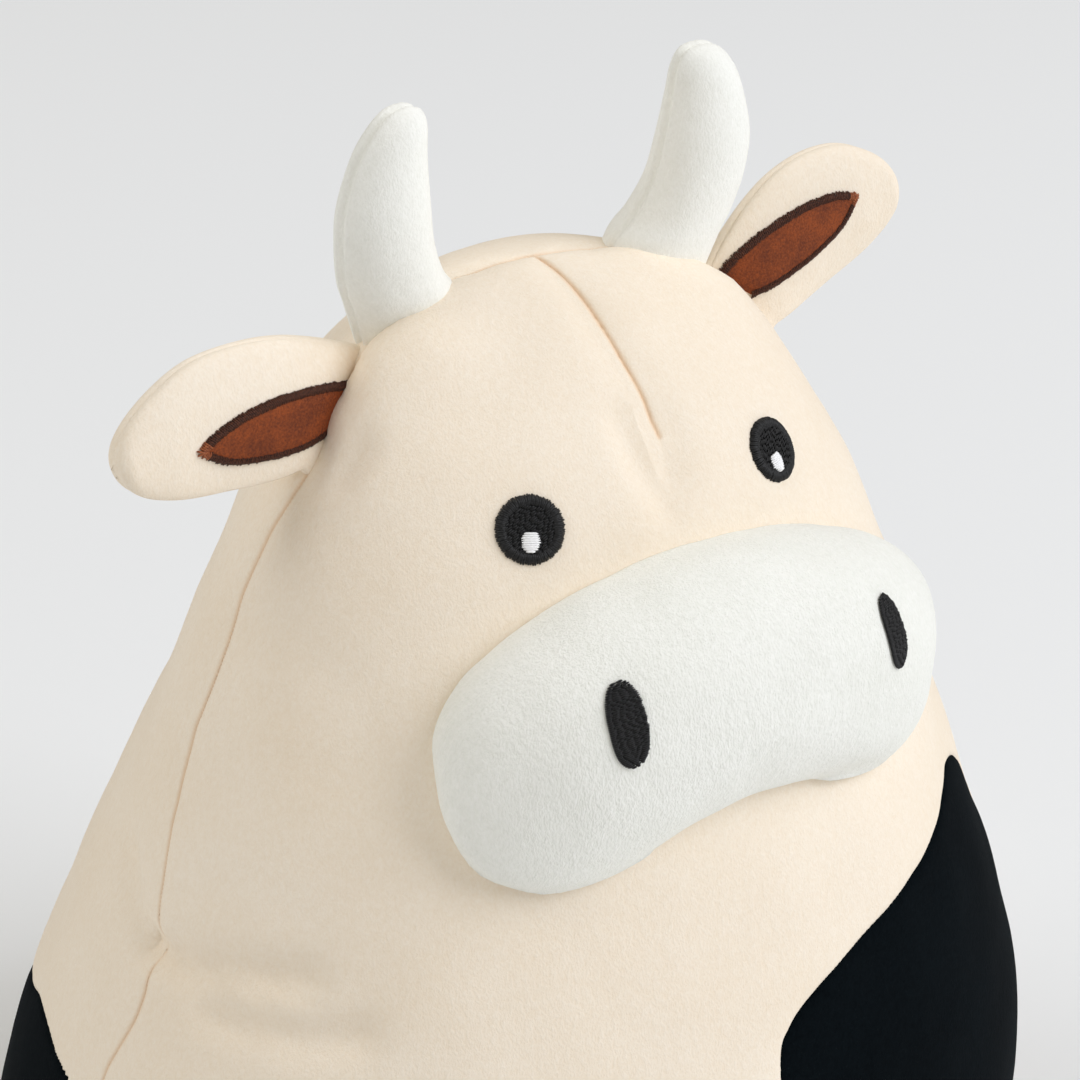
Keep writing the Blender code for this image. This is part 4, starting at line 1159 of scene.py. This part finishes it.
NOSTRIL_TURN = 9
NOSTRIL_LEAN = 0.12


def eye(side):
    disc, rim, glint = ("eye" + part + side for part in ("_", "_rim_", "_glint_"))
    low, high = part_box(disc)
    seat = Seat(body_tree, (low + high) / 2 - Vector((0, 0, EYE_LOWER[side])), 5 * MM)
    pad(disc + "_fill", seat, oval(EYE_FILL, EYE_FILL), 0.45 * MM, [disc])
    # Diagonal stitches that fill the middle
    runs = []
    slope = math.radians(38)
    for row in np.arange(-EYE_MIDDLE, EYE_MIDDLE, THREAD * 0.8):
        width = math.sqrt(max(EYE_MIDDLE * EYE_MIDDLE - row * row, 0.0))
        place = -width + rng.uniform(-1.5, 0) * MM
        while place < width:
            end = place + rng.uniform(0.9, 1.6) * MM
            ends = np.clip([place, end], -width, width)
            if ends[1] - ends[0] > 0.5 * MM:
                x = ends * math.cos(slope) - row * math.sin(slope)
                y = ends * math.sin(slope) + row * math.cos(slope)
                runs.append(seat.stitch(FILL_STITCH, (x[0], y[0]), (x[1], y[1])))
            place = end + 0.12 * MM
    sewn(disc + "_stitches", runs, THREAD * 0.88, BLACK_THREAD, "body")
    # Radial satin stitches of the raised rim
    runs = []
    for k in range(RIM_STITCHES):
        turn = 2 * math.pi * (k + rng.uniform(-0.18, 0.18)) / RIM_STITCHES
        outer = rng.uniform(6.0, 6.25) * MM
        inner = rng.uniform(4.1, 4.4) * MM
        ends = [(r * math.cos(turn), r * math.sin(turn)) for r in (outer, inner)]
        runs.append(seat.stitch(RIM_STITCH, *ends))
    sewn(rim + "_stitches", runs, THREAD * 1.12, BLACK_THREAD, "body", [rim])
    # White glint of level stitches
    runs = []
    shift = GLINT_SHIFT[side]
    for row in np.arange(-1.75, 1.76, 0.39) * MM:
        width = GLINT_SIZE[0] * math.sqrt(max(1 - (row / GLINT_SIZE[1]) ** 2, 0.02))
        left = shift - width - rng.uniform(0, 0.25) * MM
        right = shift + width + rng.uniform(0, 0.2) * MM
        runs.append(seat.stitch(GLINT_STITCH, (left, GLINT_DROP + row), (right, GLINT_DROP + row)))
    sewn(glint + "_stitches", runs, THREAD * 1.05, WHITE_THREAD, "body", [glint])


def nostril(side):
    name = "nostril_" + side
    low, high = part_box(name)
    half = NOSTRIL_HALF[side]
    seat = Seat(muzzle_tree, (low + high) / 2 + Vector((0, 0, NOSTRIL_RAISE[side])), 4 * MM, NOSTRIL_TURN)
    pad(name + "_fill", seat, oval(half - 0.35 * MM, 7.0 * MM), 0.4 * MM, [name])
    runs = []
    for row in np.arange(-7.45, 7.46, THREAD / MM * 0.78) * MM:
        # Half the width at this height over the middle
        width = half * (1 - min(abs(row) / NOSTRIL_HEIGHT, 1.0) ** 2.6) ** (1 / 2.3)
        place = -width
        while place < width - 0.3 * MM:
            end = min(place + rng.uniform(0.8, 1.5) * MM, width)
            if width - end < 0.6 * MM:
                end = width + rng.uniform(-0.1, 0.15) * MM
            ends = [(x, row + x * NOSTRIL_LEAN) for x in (place, end)]
            runs.append(seat.stitch(NOSTRIL_STITCH, *ends))
            place = end + 0.1 * MM
    sewn(name + "_stitches", runs, THREAD * 0.88, BLACK_THREAD, "body")


for side in ("left", "right"):
    eye(side)
    nostril(side)

# Ear linings

# Rings of a lining from under its middle over its edge to its top: share of its outline, height in mm
LINING_RINGS = (
    (0.0, -0.9), (0.6, -0.9), (1.0, -0.5), (1.0, 0.35), (0.96, 0.6), (0.85, 0.7), (0.6, 0.7), (0.3, 0.7),
    (0.0, 0.7),
)
TIP_REACH = 2.0 * MM

for side, ear in EARS.items():
    tree = ear_trees[side]
    way = Vector(-ear.front)
    length_way, width_way, root = Vector(ear.length_way), Vector(ear.width_way), Vector(ear.root)

    def on_ear(point, height):
        hit, normal = laid(tree, root + length_way * point[0] + width_way * point[1], way)
        return hit + normal * height

    outline = ear.lining_outline()
    middle = outline.mean(0)
    rows = []
    for share, height in LINING_RINGS:
        rows.append([tuple(on_ear(middle + (point - middle) * share, height * MM)) for point in outline[::2]])
    grid = ended(np.array(rows))
    if side == "left":
        grid = grid[:, ::-1]
    if grid_normals(grid)[-2, 5] @ ear.front < 0:
        grid = grid[:, ::-1]
    lining = from_grid("ear_lining_velvet_" + side, grid)
    finish(lining, VELVET, "ear_" + side, ["ear_lining_" + side])
    # Satin stitches over the lining's edge, open at the root
    steps = np.concatenate([[0], np.cumsum(np.linalg.norm(np.diff(outline, axis=0), axis=1))])
    runs, tip_runs = [], []
    for place in np.arange(0, steps[-1], THREAD * 0.86):
        before, point, ahead = (
            np.array([np.interp(place + shift, steps, outline[:, k]) for k in (0, 1)])
            for shift in (-0.6 * MM, 0, 0.6 * MM)
        )
        going = unit(ahead - before)
        outward = np.array([going[1], -going[0]])
        if outward @ (point - middle) < 0:
            outward = -outward
        outer, inner = rng.uniform(0.6, 0.95), rng.uniform(0.6, 0.8)
        lean = rng.uniform(-0.12, 0.12)
        run = []
        across = (outward + going * (0.3 + lean)) * MM
        for share, rise, fat in (
            (outer, 0.05, 0.6), (0.3, 0.55, 1.0), (-0.2, 0.85, 1.0), (-inner, 0.65, 0.7),
        ):
            run.append((on_ear(point + across * share, rise * MM), fat))
        near_tip = abs(place - steps[SIDE_POINTS - 1]) < TIP_REACH
        (tip_runs if near_tip else runs).append(run)
    body = "ear_" + side
    border = ["ear_border_" + side]
    sewn("ear_border_stitches_" + side, runs, THREAD, DARK_THREAD, body, border)
    sewn("ear_border_tip_" + side, tip_runs, THREAD, TIP_THREAD, body)

# Tail

TAIL_TURNS = 32
TAIL_SEWN = 3.0 * MM
for node, name, material, slot, rows in (
    ("tail", "tail_cord", CREAM, "cream_plush", 24),
    ("tail_tuft", "tail_end", BLACK, "black_plush", 20),
):
    tree = node_tree(node)
    low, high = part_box(node)
    turns = np.arange(TAIL_TURNS) * 2 * math.pi / TAIL_TURNS
    angles = np.linspace(0, math.pi, 121)
    found = bridged(profiles(tree, (low + high) / 2, (0, -0.35, 1), (1, 0, 0), turns, angles))
    grid = smoothed(ended(np.stack([spaced(profile, rows) for profile in found], 1)), 3)
    # The root is sewn into the back
    grid[..., 1] -= TAIL_SEWN * np.clip((grid[..., 2] - 0.085) / 0.008, 0, 1)
    fine = curve_through(closed(grid), np.arange(0, TAIL_TURNS, 0.5), 1)
    fine = curve_through(fine, np.arange(0, rows + 0.1, 0.5), 0)
    fine[-1] = fine[-1, 0]
    piece = from_grid(name, fine)
    finish(piece, material, "tail", (node,))

# Studio

bpy.ops.object.select_all(action="DESELECT")
bpy.ops.mesh.primitive_plane_add(size=60)
floor = bpy.context.object
floor.name = "floor"
BACKDROP = tint(226, 228, 228)
paint = Paint("floor_paper", Roughness=0.9, Base_Color=tint(243, 245, 247))
# Far from the object the paper goes over into an even backdrop, as far as the camera sees
far = paint.node("ShaderNodeVectorMath", {"operation": "LENGTH"}, {0: paint.place}, "Value").clipped(1.6, 3.2)
seen = far * paint.node("ShaderNodeLightPath", {}, {}, "Is Camera Ray")
shine = paint.node("ShaderNodeEmission", {}, {"Color": BACKDROP, "Strength": 1.0})
paint.show("Material Output", seen, Wire(paint, paint.shader.outputs["BSDF"]), shine)
floor.data.materials.append(paint.material)
floor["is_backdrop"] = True

CAMERA_PLACE = (-0.2296, -0.3375, 0.4349)
LAMPS_AIM = Vector((0, 0, 0.16))
LAMP_DISTANCE = 4.5
azimuth, elevation, roll = (math.radians(a) for a in (-34.14, 29.64, 0.91))
level = math.cos(elevation)
back = Vector((math.sin(azimuth) * level, -math.cos(azimuth) * level, math.sin(elevation)))
right = Vector((math.cos(azimuth), math.sin(azimuth), 0))
up = back.cross(right)
turned = (right * math.cos(roll) + up * math.sin(roll), up * math.cos(roll) - right * math.sin(roll), back)
camera = bpy.data.cameras.new("camera")
camera.lens = 80
camera.sensor_width = 36
camera.clip_start = 0.01
viewer = bpy.data.objects.new("camera", camera)
scene.collection.objects.link(viewer)
viewer.matrix_world = Matrix.Translation(CAMERA_PLACE) @ Matrix(turned).transposed().to_4x4()
scene.camera = viewer


def lamp(name, way, size, power, colour):
    light = bpy.data.lights.new(name, "AREA")
    light.size = size
    light.energy = power
    light.color = colour
    obj = bpy.data.objects.new(name, light)
    scene.collection.objects.link(obj)
    way = way.normalized()
    obj.location = LAMPS_AIM + way * LAMP_DISTANCE
    obj.rotation_mode = "QUATERNION"
    obj.rotation_quaternion = way.to_track_quat("Z", "Y")


lamp("key", turned[0] * 0.8 + turned[1] * 0.5 + back * 0.5, 3.4, 140.0, (0.968, 1.0, 1.07))
lamp("fill", turned[0] * -0.9 + turned[1] * 0.4 + back * 0.8, 3.0, 3.0, (0.97, 0.985, 1.0))
lamp("rim", Vector((-0.6, 0.35, 0.75)), 3.0, 58.0, (0.99, 1.0, 1.0))
world = bpy.data.worlds.new("studio")
scene.world = world
sky = Sky(world)
glow = sky.node("ShaderNodeBackground", {}, {"Color": (1.0, 0.94, 0.84, 1.0), "Strength": 0.355})
backdrop = sky.node("ShaderNodeBackground", {}, {"Color": BACKDROP})
sky.show("World Output", sky.node("ShaderNodeLightPath", {}, {}, "Is Camera Ray"), glow, backdrop)
scene.view_settings.view_transform = "Standard"

low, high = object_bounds()
